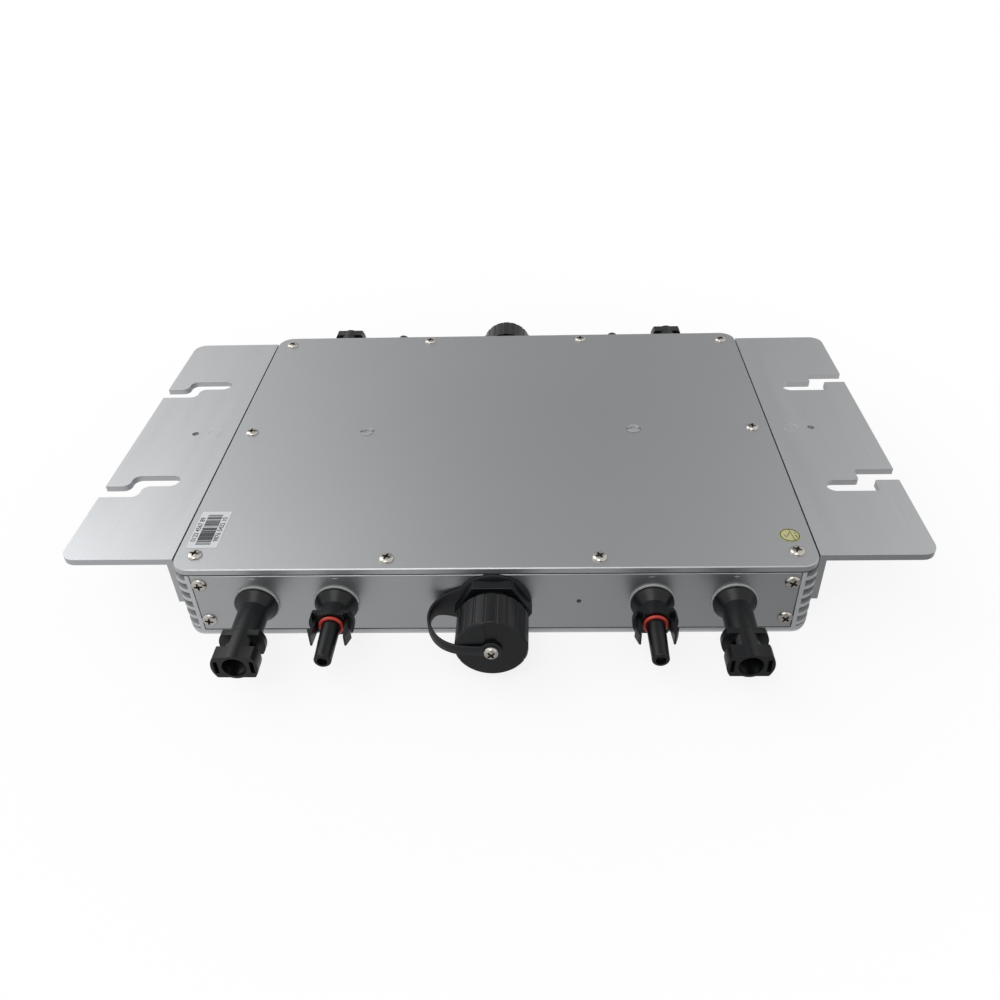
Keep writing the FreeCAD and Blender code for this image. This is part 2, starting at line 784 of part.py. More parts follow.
socket_core = turned(FLANGED_STUB + [
    ("barrel_radius", "-socket_collar_start"),
    ("socket_neck_radius", "-socket_collar_start"),
    ("socket_neck_radius", "-socket_length"),
    ("0", "-socket_length"),
])
neck_start = "-socket_collar_start - collar_thickness"
latch_slots = [
    box(span, ("-socket_length - 1", "-socket_head_start + 1"), both("latch_slot_height / 2"))
    for span in (
        ("latch_slot_start", "latch_slot_start + latch_slot_width"),
        ("-latch_slot_start - latch_slot_width", "-latch_slot_start"),
    )
]
socket_shell = cut(
    fuse(
        socket_core,
        flat_sided_disc("-socket_collar_start", neck_start),
        flat_sided_disc("-socket_head_start", "-socket_length"),
    ),
    rod("y", "socket_bore_radius", "-socket_length - 1", "-socket_length + socket_bore_depth"),
    rod("y", "contact_radius + screw_clearance", "-socket_length", f"{STUB_END} + 1"),
    box(both("barrel_radius + 1"), ("-socket_head_start + window_margin", f"{neck_start} - window_margin"),
        both("window_height / 2")),
    *latch_slots,
)
front_sockets, rear_sockets = at_ends(socket_shell, both(SOCKET_X))
node("front_dc_socket_shells", *front_sockets)
node("rear_dc_socket_shells", *rear_sockets)

plug_face = "-plug_collar_start - collar_thickness"
ring_front = f"{plug_face} - ring_groove_width"
plug_core = turned(FLANGED_STUB + [
    ("barrel_radius", plug_face),
    ("ring_groove_radius", plug_face),
    ("ring_groove_radius", ring_front),
    ("probe_root_radius", ring_front),
    ("probe_tip_radius", "-probe_length + probe_chamfer"),
    ("probe_tip_radius - probe_chamfer", "-probe_length"),
    ("0", "-probe_length"),
])
latch_axis_y = f"{plug_face} + latch_pivot_depth"
latch_pockets = [
    rod("z", "latch_root_radius + latch_clearance", minus("collar_radius"), "collar_radius",
        (x, latch_axis_y))
    for x in both("latch_place")
]
plug_shell = cut(
    fuse(plug_core, flat_sided_disc("-plug_collar_start", plug_face)),
    rod("y", "contact_radius + screw_clearance", "-probe_length - 1", f"{STUB_END} + 1"),
    *latch_pockets,
)
front_plugs, rear_plugs = at_ends(plug_shell, both(PLUG_X))
node("front_dc_plug_shells", *front_plugs)
node("rear_dc_plug_shells", *rear_plugs)

o_ring = doc.addObject("Part::Torus", "Ring")
o_ring.setExpression("Radius1", bound("ring_groove_radius + screw_clearance + ring_section"))
o_ring.setExpression("Radius2", bound("ring_section"))
place(o_ring, y=f"{plug_face} - ring_groove_width / 2", turn=facing_front)
front_rings, rear_rings = at_ends(o_ring, both(PLUG_X))
node("plug_o_rings", *front_rings, *rear_rings)

socket_pin = turned(CONTACT_TAIL + [
    ("contact_radius", "-socket_length + contact_recess + contact_chamfer"),
    ("contact_radius - contact_chamfer", "-socket_length + contact_recess"),
    ("0", "-socket_length + contact_recess"),
])
plug_tube = turned(CONTACT_TAIL + [
    ("contact_radius", "-probe_length + plug_contact_recess"),
    ("plug_contact_bore", "-probe_length + plug_contact_recess"),
    ("plug_contact_bore", "-probe_length + plug_contact_depth"),
    ("0", "-probe_length + plug_contact_depth"),
])
front_pins, rear_pins = at_ends(socket_pin, both(SOCKET_X))
front_tubes, rear_tubes = at_ends(plug_tube, both(PLUG_X))
node("dc_contacts", *front_pins, *rear_pins, *front_tubes, *rear_tubes)


# --- Latch fingers: two sprung fingers on each plug, each turning about its round root ---

finger_inside = "latch_place - latch_width / 2"
finger_outside = "latch_place + latch_width / 2"
finger_arm = pad([
    (finger_inside, latch_axis_y),
    (finger_outside, latch_axis_y),
    (finger_outside, f"{latch_axis_y} - latch_barb_place + latch_shoulder"),
    (f"{finger_outside} + latch_barb", f"{latch_axis_y} - latch_barb_place"),
    ("latch_place + latch_tip_width", f"{latch_axis_y} - latch_length"),
    ("latch_place", f"{latch_axis_y} - latch_length"),
], "latch_height")
place(finger_arm, z="-latch_height / 2")
finger_root = rod("z", "latch_root_radius", *both("latch_height / 2"), ("latch_place", latch_axis_y))
latch_finger = fuse(finger_arm, finger_root)
for end, y, end_turn, edges in (
    ("front", minus(FACE), UPRIGHT, ("left", "right")),
    ("rear", FACE, HALF_TURN, ("right", "left")),
):
    for side, x in (("left", minus(PLUG_X)), ("right", PLUG_X)):
        for edge, finger_turn in zip(edges, (ROLLED, UPRIGHT)):
            finger = copy(latch_finger, x, y, CONNECTOR_Z, end_turn * finger_turn)
            node(f"{end}_{side}_plug_{edge}_latch", finger)


# --- AC connectors: receptacle, insert, pins and the hexagon nut outside the end plate ---

MIDDLE = ("0",)
insert_face = "-ac_length + ac_bore_depth"
insert_back = f"{insert_face} + ac_insert_depth"
shoulder_front = "plate_thickness + seal_thickness"
shoulder_back = f"{shoulder_front} + ac_shoulder_thickness"
shoulder_radius = f"{CONNECTOR_Z} - floor_thickness - ac_shoulder_gap"
receptacle = turned([
    ("ac_bore_radius", insert_back),
    ("ac_barrel_radius", insert_back),
    ("ac_barrel_radius", shoulder_back),
    (shoulder_radius, shoulder_back),
    (shoulder_radius, shoulder_front),
    ("ac_barrel_radius", shoulder_front),
    ("ac_barrel_radius", "-ac_length + ac_mouth_chamfer"),
    ("ac_barrel_radius - ac_mouth_chamfer", "-ac_length"),
    ("ac_bore_radius", "-ac_length"),
])
(front_receptacle,), (rear_receptacle,) = at_ends(receptacle, MIDDLE)
node("front_ac_receptacle", front_receptacle)
node("rear_ac_receptacle", rear_receptacle)

pin_spots = [
    ("0", "ac_pin_circle"),
    ("-ac_pin_circle * cos(30)", "-ac_pin_circle / 2"),
    ("ac_pin_circle * cos(30)", "-ac_pin_circle / 2"),
]
insert = cut(
    rod("y", "ac_bore_radius - screw_clearance", insert_face, insert_back),
    *[
        rod("y", "ac_pin_radius + screw_clearance", f"{insert_face} - 1", f"{insert_back} + 1", spot)
        for spot in pin_spots
    ],
)
front_insert, rear_insert = at_ends(insert, MIDDLE)
node("ac_inserts", *front_insert, *rear_insert)

ac_pin = rod("y", "ac_pin_radius", f"{insert_face} - ac_pin_reach", TAIL_END)
node("ac_contact_pins", *[
    copy(ac_pin, x, y, f"{CONNECTOR_Z} + ({z})", turn)
    for y, turn in ((minus(FACE), UPRIGHT), (FACE, HALF_TURN))
    for x, z in pin_spots
])

ac_nut = cut(
    nut("y", "ac_nut_flats", "-strap_ring_thickness - ac_nut_thickness", "-strap_ring_thickness"),
    rod("y", "ac_barrel_radius + screw_clearance", "-ac_length", "0"),
)
front_ac_nut, rear_ac_nut = at_ends(ac_nut, MIDDLE)
node("ac_flange_nuts", *front_ac_nut, *rear_ac_nut)


# --- Seals under the flanges, and the nuts that hold the DC connectors from inside ---

dc_seal = ring("y", "seal_radius", "stub_radius + screw_clearance", "-seal_thickness", "0")
ac_seal = ring("y", shoulder_radius, "ac_barrel_radius + screw_clearance",
               "plate_thickness", shoulder_front)
dc_places = (*both(SOCKET_X), *both(PLUG_X))
front_seals, rear_seals = at_ends(dc_seal, dc_places)
front_ac_seal, rear_ac_seal = at_ends(ac_seal, MIDDLE)
node("connector_seals", *front_seals, *rear_seals, *front_ac_seal, *rear_ac_seal)

lock_nut = cut(
    nut("y", "lock_nut_flats", "plate_thickness", "plate_thickness + lock_nut_thickness"),
    rod("y", "stub_radius + screw_clearance", "0", STUB_END),
)
front_lock_nuts, rear_lock_nuts = at_ends(lock_nut, dc_places)
node("dc_lock_nuts", *front_lock_nuts, *rear_lock_nuts)


# --- Dust caps: each screws onto its AC receptacle and hangs on a strap from under the nut ---

cap_front = "-cap_end"
cap_inside = f"{cap_front} + cap_wall_end"
cap_bore = "ac_barrel_radius + cap_bore_clearance"
cap_blank = turned([
    (cap_bore, "-cap_start"),
    ("cap_radius", "-cap_start"),
    ("cap_radius", f"{cap_front} + cap_edge_chamfer"),
    ("cap_radius - cap_edge_chamfer", cap_front),
    ("0", cap_front),
    ("0", cap_inside),
    (cap_bore, cap_inside),
])
flute_circle = "(cap_radius + cap_flute_radius - cap_flute_depth)"
flutes = [
    rod("y", "cap_flute_radius", "-cap_end - 1", "-cap_start + 1",
        (f"{flute_circle} * cos({angle})", f"{flute_circle} * sin({angle})"))
    for angle in (360 * (step + 0.5) / CAP_FLUTES for step in range(CAP_FLUTES))
]
cap_screw_hole = rod("y", "cap_screw_radius + screw_clearance", cap_front,
                     f"{cap_front} + cap_screw_bite + screw_clearance")
cap_groove = box(("-cap_groove_width / 2", "cap_groove_width / 2"),
                 (f"{cap_front} - 1", f"{cap_front} + cap_groove_depth"),
                 ("cap_screw_head + 1", "cap_radius + 1"))
cap = cut(cap_blank, cap_screw_hole, cap_groove, *flutes)
cap_seal = rod("y", f"{cap_bore} - cap_seal_clearance", cap_inside, f"{cap_inside} + cap_seal_thickness")

washer_near = f"{cap_front} - washer_play"
washer_far = f"{washer_near} - strap_thickness - 2 * strap_gap"
washer = ring("y", "washer_radius", "cap_screw_radius + washer_bore_clearance", washer_far, washer_near)
head_seat = f"{washer_far} - washer_play"
cap_screw = pan_head_screw("cap_screw_radius", f"cap_screw_bite - ({head_seat}) - cap_end",
                           "cap_screw_head", "cap_screw_head_height")
place(cap_screw, y=head_seat, turn=facing_front)

eye_near = f"{washer_near} - strap_gap"
eye_middle = f"{eye_near} - strap_thickness / 2"


def band(middle_line, thickness):
    """The outline of a strap of even thickness along a bent middle line, mitred at its bends."""
    spots = [FreeCAD.Vector(value(x), value(y), 0) for x, y in middle_line]
    near_side = []
    far_side = []
    for i, (x, y) in enumerate(middle_line):
        before = (spots[i] - spots[i - 1] if i else spots[1] - spots[0]).normalize()
        after = (spots[i + 1] - spots[i] if i + 1 < len(spots) else spots[i] - spots[i - 1]).normalize()
        mitre = (before + after).normalize()
        stretch = 1 / mitre.dot(after)
        across = (-mitre.y * stretch, mitre.x * stretch)
        near_side.append(tuple(f"({c}) + {thickness} / 2 * ({a:.4f})" for c, a in zip((x, y), across)))
        far_side.append(tuple(f"({c}) - {thickness} / 2 * ({a:.4f})" for c, a in zip((x, y), across)))
    return near_side + far_side[::-1]


strap_line = [
    ("-strap_reach * 0.76", "-strap_ring_thickness / 2"),
    ("-strap_reach * 0.84", "-strap_ring_thickness / 2 - strap_thickness / 4"),
    ("-strap_reach * 0.93", "-cap_end * 0.16"),
    ("-strap_reach", "-cap_end * 0.41"),
    ("-strap_reach * 0.91", "-cap_end * 0.68"),
    ("-strap_reach * 0.77", "-cap_end * 0.88"),
    ("-strap_reach * 0.60", eye_middle),
    ("-strap_eye_radius / 2 - washer_radius / 2", eye_middle),
]
strap_band = pad(band(strap_line, "strap_thickness"), "strap_width")
place(strap_band, z="-strap_width / 2")
strap_tab = pad([
    ("-ac_barrel_radius - 1", "strap_tab_width / 2"),
    ("-strap_reach * 0.83", "strap_width * 0.9"),
    ("-strap_reach * 0.90", "strap_width / 2"),
    ("-strap_reach * 0.90", "-strap_width / 2"),
    ("-strap_reach * 0.83", "-strap_width * 0.9"),
    ("-ac_barrel_radius - 1", "-strap_tab_width / 2"),
], "strap_ring_thickness")
place(strap_tab, turn=facing_front)
tether = fuse(
    ring("y", "strap_ring_radius", "ac_barrel_radius + hole_clearance", "-strap_ring_thickness", "0"),
    strap_tab,
    strap_band,
    ring("y", "strap_eye_radius", "washer_radius + strap_gap", f"{eye_near} - strap_thickness", eye_near),
)
for label, master in (
    ("ac_cap", cap),
    ("cap_seal", cap_seal),
    ("cap_screw", cap_screw),
    ("tether_washer", washer),
    ("tether_strap", tether),
):
    (front_piece,), (rear_piece,) = at_ends(master, MIDDLE)
    node(f"front_{label}", front_piece)
    node(f"rear_{label}", rear_piece)


# --- Main board on its standoffs ---

board_half_length = f"{PORT_X} - port_radius - board_side_gap"
board_half_depth = f"{FACE} - ({TAIL_END}) + strap_inset + strap_metal"
standoff_places = [
    (x, y)
    for x in (*both(f"{board_half_length} - standoff_inset"), *both("standoff_near"))
    for y in both(f"{board_half_depth} - standoff_inset")
]
board_holes = [
    rod("z", "board_screw_radius + hole_clearance", f"{BOARD_UNDER} - 1", f"{BOARD_TOP} + 1", spot)
    for spot in standoff_places
]
board_blank = box(both(board_half_length), both(board_half_depth), (BOARD_UNDER, BOARD_TOP))
node("main_circuit_board", cut(board_blank, *board_holes))
standoff = ring("z", "standoff_radius", "board_screw_radius + screw_clearance", "0", "standoff_height")
node("board_standoffs", *[copy(standoff, x, y, "floor_thickness") for x, y in standoff_places])
board_screw = pan_head_screw("board_screw_radius", "board_screw_length",
                             "board_screw_head", "board_screw_head_height")
node("board_screws", *[copy(board_screw, x, y, BOARD_TOP) for x, y in standoff_places])


# --- Contact straps: bent copper strips from the contact tails down to the board ---


def contact_strap(height, tail_radius):
    """One strap: a foot on the board and an upright with a hole for its contact."""
    back = f"-body_depth / 2 + ({TAIL_END}) - strap_inset"
    front = f"{back} - strap_metal"
    top = f"{height} + {tail_radius} + strap_metal"
    upright = box(both("strap_metal_width / 2"), (front, back), (BOARD_TOP, top))
    foot = box(both("strap_metal_width / 2"), (front, f"{front} + strap_foot"),
               (BOARD_TOP, f"{BOARD_TOP} + strap_metal"))
    hole = rod("y", f"{tail_radius} + screw_clearance", f"{front} - 1", f"{back} + 1", ("0", height))
    return cut(fuse(upright, foot), hole)


straps = []
strap_sets = [(contact_strap(CONNECTOR_Z, "contact_tail_radius"), dc_places)]
for pin_x, pin_z in pin_spots[:2]:
    pin_places = ("0",) if pin_x == "0" else both(pin_x)
    strap_sets.append((contact_strap(f"{CONNECTOR_Z} + ({pin_z})", "ac_pin_radius"), pin_places))
for master, places in strap_sets:
    for x in places:
        straps.append(copy(master, x))
        straps.append(copy(master, x, turn=HALF_TURN))
node("contact_straps", *straps)


# --- Power components on the board ---


def on_board(master, places):
    """Copies of a component that stands on z = 0, at places on the board."""
    return [copy(master, x, y, BOARD_TOP) for x, y in places]


transformer_places = [(x, y) for x in both("transformer_across") for y in both("transformer_along")]
window_span = ("core_leg / 2", "core_length / 2 - core_yoke")
core_span = both("core_depth / 2")
window_rise = ("core_yoke", "core_height - core_yoke")
core = cut(
    box(both("core_length / 2"), core_span, ("0", "core_height")),
    box(window_span, both("core_depth"), window_rise),
    box((minus(window_span[1]), minus(window_span[0])), both("core_depth"), window_rise),
)
node("transformer_cores", *on_board(core, transformer_places))
winding = cut(
    box(both("winding_length / 2"), both("winding_depth / 2"),
        (f"{window_rise[0]} + winding_clearance", f"{window_rise[1]} - winding_clearance")),
    box(both("core_leg / 2 + winding_clearance"), both("core_depth / 2 + winding_clearance"),
        ("0", "core_height")),
)
node("transformer_windings", *on_board(winding, transformer_places))

can_outline = [
    ("0", "0"),
    ("capacitor_radius", "0"),
    ("capacitor_radius", "capacitor_bead"),
    ("capacitor_radius - bead_depth", "capacitor_bead + bead_depth"),
    ("capacitor_radius", "capacitor_bead + 2 * bead_depth"),
    ("capacitor_radius", "capacitor_height - bead_depth"),
    ("capacitor_radius - bead_depth", "capacitor_height"),
    ("0", "capacitor_height"),
]
can = place(turned(can_outline), turn=facing_front)
capacitor_places = [
    (x, y)
    for x in both(f"{board_half_length} - capacitor_inset")
    for y in (*both("capacitor_near"), *both("capacitor_far"))
]
node("input_capacitors", *on_board(can, capacitor_places))

choke_places = [("0", y) for y in both("choke_place")]
choke_core = ring("z", "choke_radius", "choke_bore", "choke_wire", "choke_wire + choke_height")
node("filter_choke_cores", *on_board(choke_core, choke_places))
turn_height = ("0", "choke_height + 2 * choke_wire")
choke_coil = cut(
    ring("z", "choke_radius + choke_wire", "choke_bore - choke_wire", *turn_height),
    ring("z", "choke_radius + screw_clearance", "choke_bore - screw_clearance",
         "choke_wire", "choke_wire + choke_height"),
    box(both("choke_radius * 2"), both("choke_gap / 2"), ("-1", "choke_height * 2")),
)
node("filter_choke_windings", *on_board(choke_coil, choke_places))

relay = box(both("relay_length / 2"), both("relay_depth / 2"), ("0", "relay_height"))
relay_places = [(x, y) for x in both("relay_across") for y in both(f"{board_half_depth} - relay_inset")]
node("grid_relays", *on_board(relay, relay_places))

bar_near = "bar_place - bar_thickness / 2"
bar_far = "bar_place + bar_thickness / 2"
bar = box((bar_near, bar_far), both("bar_length / 2"), (BOARD_TOP, f"{BOARD_TOP} + bar_height"))
node("heat_spreader_bars", copy(bar), copy(bar, turn=HALF_TURN))
transistor_body = box((bar_far, f"{bar_far} + transistor_thickness"), both("transistor_width / 2"),
                      (f"{BOARD_TOP} + transistor_lift", f"{BOARD_TOP} + transistor_lift + transistor_height"))
lead_middle = f"{bar_far} + transistor_thickness / 2"
leads = [
    box((f"{lead_middle} - transistor_lead / 2", f"{lead_middle} + transistor_lead / 2"),
        (f"{y} - transistor_lead / 2", f"{y} + transistor_lead / 2"),
        (BOARD_TOP, f"{BOARD_TOP} + transistor_lift"))
    for y in ("-transistor_lead_pitch", "0", "transistor_lead_pitch")
]
transistor = fuse(transistor_body, *leads)
node("power_transistors", *[
    copy(transistor, y=f"transistor_pitch * {step}", turn=turn)
    for turn in (UPRIGHT, HALF_TURN)
    for step in (-1.5, -0.5, 0.5, 1.5)
])

control_top = f"{BOARD_TOP} + control_board_height"
control_half = "board_thickness / 2"
node("control_board", box(both(control_half), both("control_board_depth / 2"), (BOARD_TOP, control_top)))
chip_low = f"{BOARD_TOP} + chip_lift"
node("controller_chips", *[
    box((control_half, f"{control_half} + chip_thickness"),
        (f"{y} - chip_side / 2", f"{y} + chip_side / 2"),
        (chip_low, f"{chip_low} + chip_side"))
    for y in both("chip_place")
])


# --- Status lamp behind the front end plate ---

lamp_axis = ("lamp_place", "lamp_height")
lamp_back = f"{minus(PLATE_BACK)} + lamp_length"
leg_top = ("lamp_height - lamp_leg / 2", "lamp_height + lamp_leg / 2")
lamp_legs = []
for x in ("lamp_place - lamp_leg * 1.5", "lamp_place + lamp_leg / 2"):
    leg_span = (x, f"{x} + lamp_leg")
    leg_end = f"{lamp_back} + lamp_leg_reach"
    lamp_legs.append(box(leg_span, (lamp_back, leg_end), leg_top))
    lamp_legs.append(box(leg_span, (f"{leg_end} - lamp_leg", leg_end), (BOARD_TOP, leg_top[1])))
node("status_lamp", fuse(
    rod("y", "lamp_window_radius - screw_clearance", minus(FACE), minus(PLATE_BACK), lamp_axis),
    rod("y", "lamp_radius", minus(PLATE_BACK), lamp_back, lamp_axis),
    *lamp_legs,
))


# --- Check every object, then write one file for each node ---

doc.recompute()
for item in doc.Objects:
    if {"Invalid", "Error"} & set(item.State):
        raise SystemExit(f"{item.Label} did not build: {item.State}")
os.makedirs("parts", exist_ok=True)
for item in nodes:
    if item.Shape.isNull() or not item.Shape.isValid():
        raise SystemExit(f"{item.Label} has no valid shape")
    item.Shape.exportStep(f"parts/{item.Label}.step")
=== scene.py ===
import json
import math

import bmesh
import bpy
from mathutils import Matrix, Vector


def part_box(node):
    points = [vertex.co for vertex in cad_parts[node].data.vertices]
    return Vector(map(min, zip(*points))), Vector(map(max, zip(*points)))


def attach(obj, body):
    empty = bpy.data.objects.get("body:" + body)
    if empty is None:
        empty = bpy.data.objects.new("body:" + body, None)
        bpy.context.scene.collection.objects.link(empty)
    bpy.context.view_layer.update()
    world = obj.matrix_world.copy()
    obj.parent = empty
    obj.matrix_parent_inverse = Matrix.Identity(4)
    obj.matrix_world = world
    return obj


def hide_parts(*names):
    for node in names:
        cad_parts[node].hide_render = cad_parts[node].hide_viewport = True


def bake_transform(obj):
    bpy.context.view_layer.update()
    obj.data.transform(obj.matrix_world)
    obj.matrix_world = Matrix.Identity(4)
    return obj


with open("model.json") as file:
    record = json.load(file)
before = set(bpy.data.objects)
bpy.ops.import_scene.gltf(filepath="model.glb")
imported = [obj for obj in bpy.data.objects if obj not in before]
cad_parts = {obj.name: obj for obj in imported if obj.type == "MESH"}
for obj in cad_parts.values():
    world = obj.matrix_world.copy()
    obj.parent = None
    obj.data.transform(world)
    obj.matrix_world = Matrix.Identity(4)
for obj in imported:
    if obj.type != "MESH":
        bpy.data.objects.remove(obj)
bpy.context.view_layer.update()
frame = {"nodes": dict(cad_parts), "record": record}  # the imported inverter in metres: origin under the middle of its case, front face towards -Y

scene = bpy.context.scene
MM = 0.001


# --- Studio -------------------------------------------------------------------------------------
# A white table in a pale room, with one broad lamp behind to the left and a weaker one above the
# front. Three grey cloths that only mirrors see, one behind and two in front, shade the bare metal.

scene.view_settings.view_transform = "Standard"

lens = bpy.data.cameras.new("camera")
lens.lens = 31.919
lens.sensor_width = 36.0
lens.shift_x = -0.01255
lens.shift_y = 0.00091
lens.clip_start = 0.01


def in_scene(name, data):
    """A new object for a mesh, a lamp or a camera, linked into the scene."""
    made = bpy.data.objects.new(name, data)
    scene.collection.objects.link(made)
    return made


camera = in_scene("camera", lens)
camera.location = (0.01963, -0.37440, 0.27540)
camera.rotation_euler = [math.radians(angle) for angle in (52.925, 1.445, 1.114)]
scene.camera = camera


def linear(code):
    """The linear colour of an sRGB hex code, with full alpha."""
    parts = [int(code[i:i + 2], 16) / 255 for i in (1, 3, 5)]
    return [c / 12.92 if c <= 0.04045 else ((c + 0.055) / 1.055) ** 2.4 for c in parts] + [1.0]


def add(tree, kind, inputs=None, **settings):
    """Add a node: settings are its properties, and each input is a value or a socket to link."""
    made = tree.nodes.new(kind)
    for name, value in settings.items():
        setattr(made, name, value)
    for name, value in (inputs or {}).items():
        if isinstance(value, bpy.types.NodeSocket):
            tree.links.new(value, made.inputs[name])
        else:
            made.inputs[name].default_value = value
    return made


def lamp(name, place, side, power):
    """A soft square lamp that faces the object."""
    light = bpy.data.lights.new(name, "AREA")
    light.shape = "RECTANGLE"
    light.size = light.size_y = side
    light.energy = power
    holder = in_scene(name, light)
    holder.location = place
    holder.rotation_euler = (-Vector(place)).to_track_quat("-Z", "Y").to_euler()


lamp("key_lamp", place=(-1.45, 0.55, 1.40), side=1.6, power=15.0)
lamp("front_lamp", place=(-0.30, -0.80, 1.30), side=0.8, power=5.0)


def direct(tree):
    """A factor of one where a thing is seen straight on, in a mirror or through glass."""
    rays = add(tree, "ShaderNodeLightPath").outputs
    seen = add(tree, "ShaderNodeMath", {0: rays["Is Camera Ray"], 1: rays["Is Glossy Ray"]}, operation="ADD")
    return add(tree, "ShaderNodeMath", {0: seen.outputs[0], 1: rays["Is Transmission Ray"]},
               operation="MAXIMUM").outputs[0]


world = bpy.data.worlds.new("pale_room")
world.use_nodes = True
scene.world = world
room = world.node_tree
room.nodes.clear()
glow = add(room, "ShaderNodeMapRange", {"Value": direct(room), "To Min": 0.55, "To Max": 1.0})
air = add(room, "ShaderNodeBackground", {"Color": linear("#FFFFFF"), "Strength": glow.outputs["Result"]})
add(room, "ShaderNodeOutputWorld", {"Surface": air.outputs["Background"]})


def board(name, corners, finish):
    """A flat four-sided stage piece."""
    mesh = bpy.data.meshes.new(name)
    mesh.from_pydata(corners, [], [(0, 1, 2, 3)])
    mesh.materials.append(finish)
    piece = in_scene(name, mesh)
    return piece


# Matt white laminate. It shows pure white away from the object and keeps the object's shadow.
laminate = bpy.data.materials.new("matt white laminate")
laminate.use_nodes = True
tree = laminate.node_tree
tree.nodes.clear()
spot = add(tree, "ShaderNodeTexCoord").outputs["Object"]
distance = add(tree, "ShaderNodeVectorMath", {0: spot}, operation="LENGTH").outputs["Value"]
clear = add(tree, "ShaderNodeMapRange", {"Value": distance, "From Min": 0.12, "From Max": 0.34,
                                         "To Min": 0.84, "To Max": 1.0}, interpolation_type="SMOOTHSTEP")
share = add(tree, "ShaderNodeMath", {0: direct(tree), 1: clear.outputs["Result"]}, operation="MULTIPLY")
matt = add(tree, "ShaderNodeBsdfDiffuse", {"Color": linear("#FAFAFA")})
lit = add(tree, "ShaderNodeEmission", {"Color": linear("#FFFFFF"), "Strength": 1.0})
both = add(tree, "ShaderNodeMixShader", {"Fac": share.outputs[0], 1: matt.outputs[0], 2: lit.outputs[0]})
add(tree, "ShaderNodeOutputMaterial", {"Surface": both.outputs[0]})
table = board("white_table", [(-6, -6, 0), (6, -6, 0), (6, 6, 0), (-6, 6, 0)], laminate)
table.location.z = -0.2 * MM  # just under the case, so that the two never meet

CLOTH_LOW, CLOTH_HIGH = 0.5, 1.3  # metres above the table


def cloth(name, corners, middle, spread, low_grey, high_grey):
    """A plain cloth that only mirrors see: grey in its middle and white towards both sides.

    The grey runs from its low value at half a metre up to its high value at 1.3 m.
    """
    weave = bpy.data.materials.new(f"{name} cotton")
    weave.use_nodes = True
    tree = weave.node_tree
    tree.nodes.clear()
    spot = add(tree, "ShaderNodeTexCoord").outputs["Object"]
    split = add(tree, "ShaderNodeSeparateXYZ", {"Vector": spot}).outputs
    grey = add(tree, "ShaderNodeMapRange", {"Value": split["Z"], "From Min": CLOTH_LOW,
                                            "From Max": CLOTH_HIGH, "To Min": low_grey,
                                            "To Max": high_grey}).outputs["Result"]
    off = add(tree, "ShaderNodeMath", {0: split["X"], 1: middle}, operation="SUBTRACT").outputs[0]
    off = add(tree, "ShaderNodeMath", {0: off}, operation="ABSOLUTE").outputs[0]
    shade = add(tree, "ShaderNodeMapRange", {"Value": off, "From Max": spread, "To Min": grey, "To Max": 1.0},
                interpolation_type="SMOOTHSTEP").outputs["Result"]
    veil = add(tree, "ShaderNodeEmission", {"Color": linear("#FFFFFF"), "Strength": shade})
    add(tree, "ShaderNodeOutputMaterial", {"Surface": veil.outputs[0]})
    piece = board(name, corners, weave)
    piece.visible_camera = False
    piece.visible_diffuse = False
    piece.visible_shadow = False
    piece.visible_transmission = False


cloth("rear_flag", [(-1.6, 1.3, 0.0), (2.2, 1.3, 0.0), (2.2, 1.3, 3.0), (-1.6, 1.3, 3.0)],
      middle=0.15, spread=1.35, low_grey=0.48, high_grey=0.37)
cloth("front_cloth", [(-1.4, -0.088, 0.001), (-1.4, -1.5, 0.001), (2.2, -1.5, 0.001), (2.2, -0.088, 0.001)],
      middle=0.32, spread=0.75, low_grey=0.30, high_grey=0.30)
cloth("front_flag", [(-1.4, -1.5, 0.0), (-1.4, -1.5, 1.1), (2.2, -1.5, 1.1), (2.2, -1.5, 0.0)],
      middle=0.35, spread=1.2, low_grey=0.3, high_grey=0.3)


# --- Base channel -------------------------------------------------------------------------------
# One length of extruded aluminium, ribbed along both sides, cut to length and satin anodised.
# Its drawn lines run along the ribs, from end to end.

bodies = frame["record"]["behaviour"]["bodies"]


def material(name, **sockets):
    """A new material with its Principled shader's sockets set; gives the material, tree and shader."""
    made = bpy.data.materials.new(name)
    made.use_nodes = True
    shader = made.node_tree.nodes["Principled BSDF"]
    for socket, value in sockets.items():
        shader.inputs[socket.replace("_", " ")].default_value = value
    return made, made.node_tree, shader


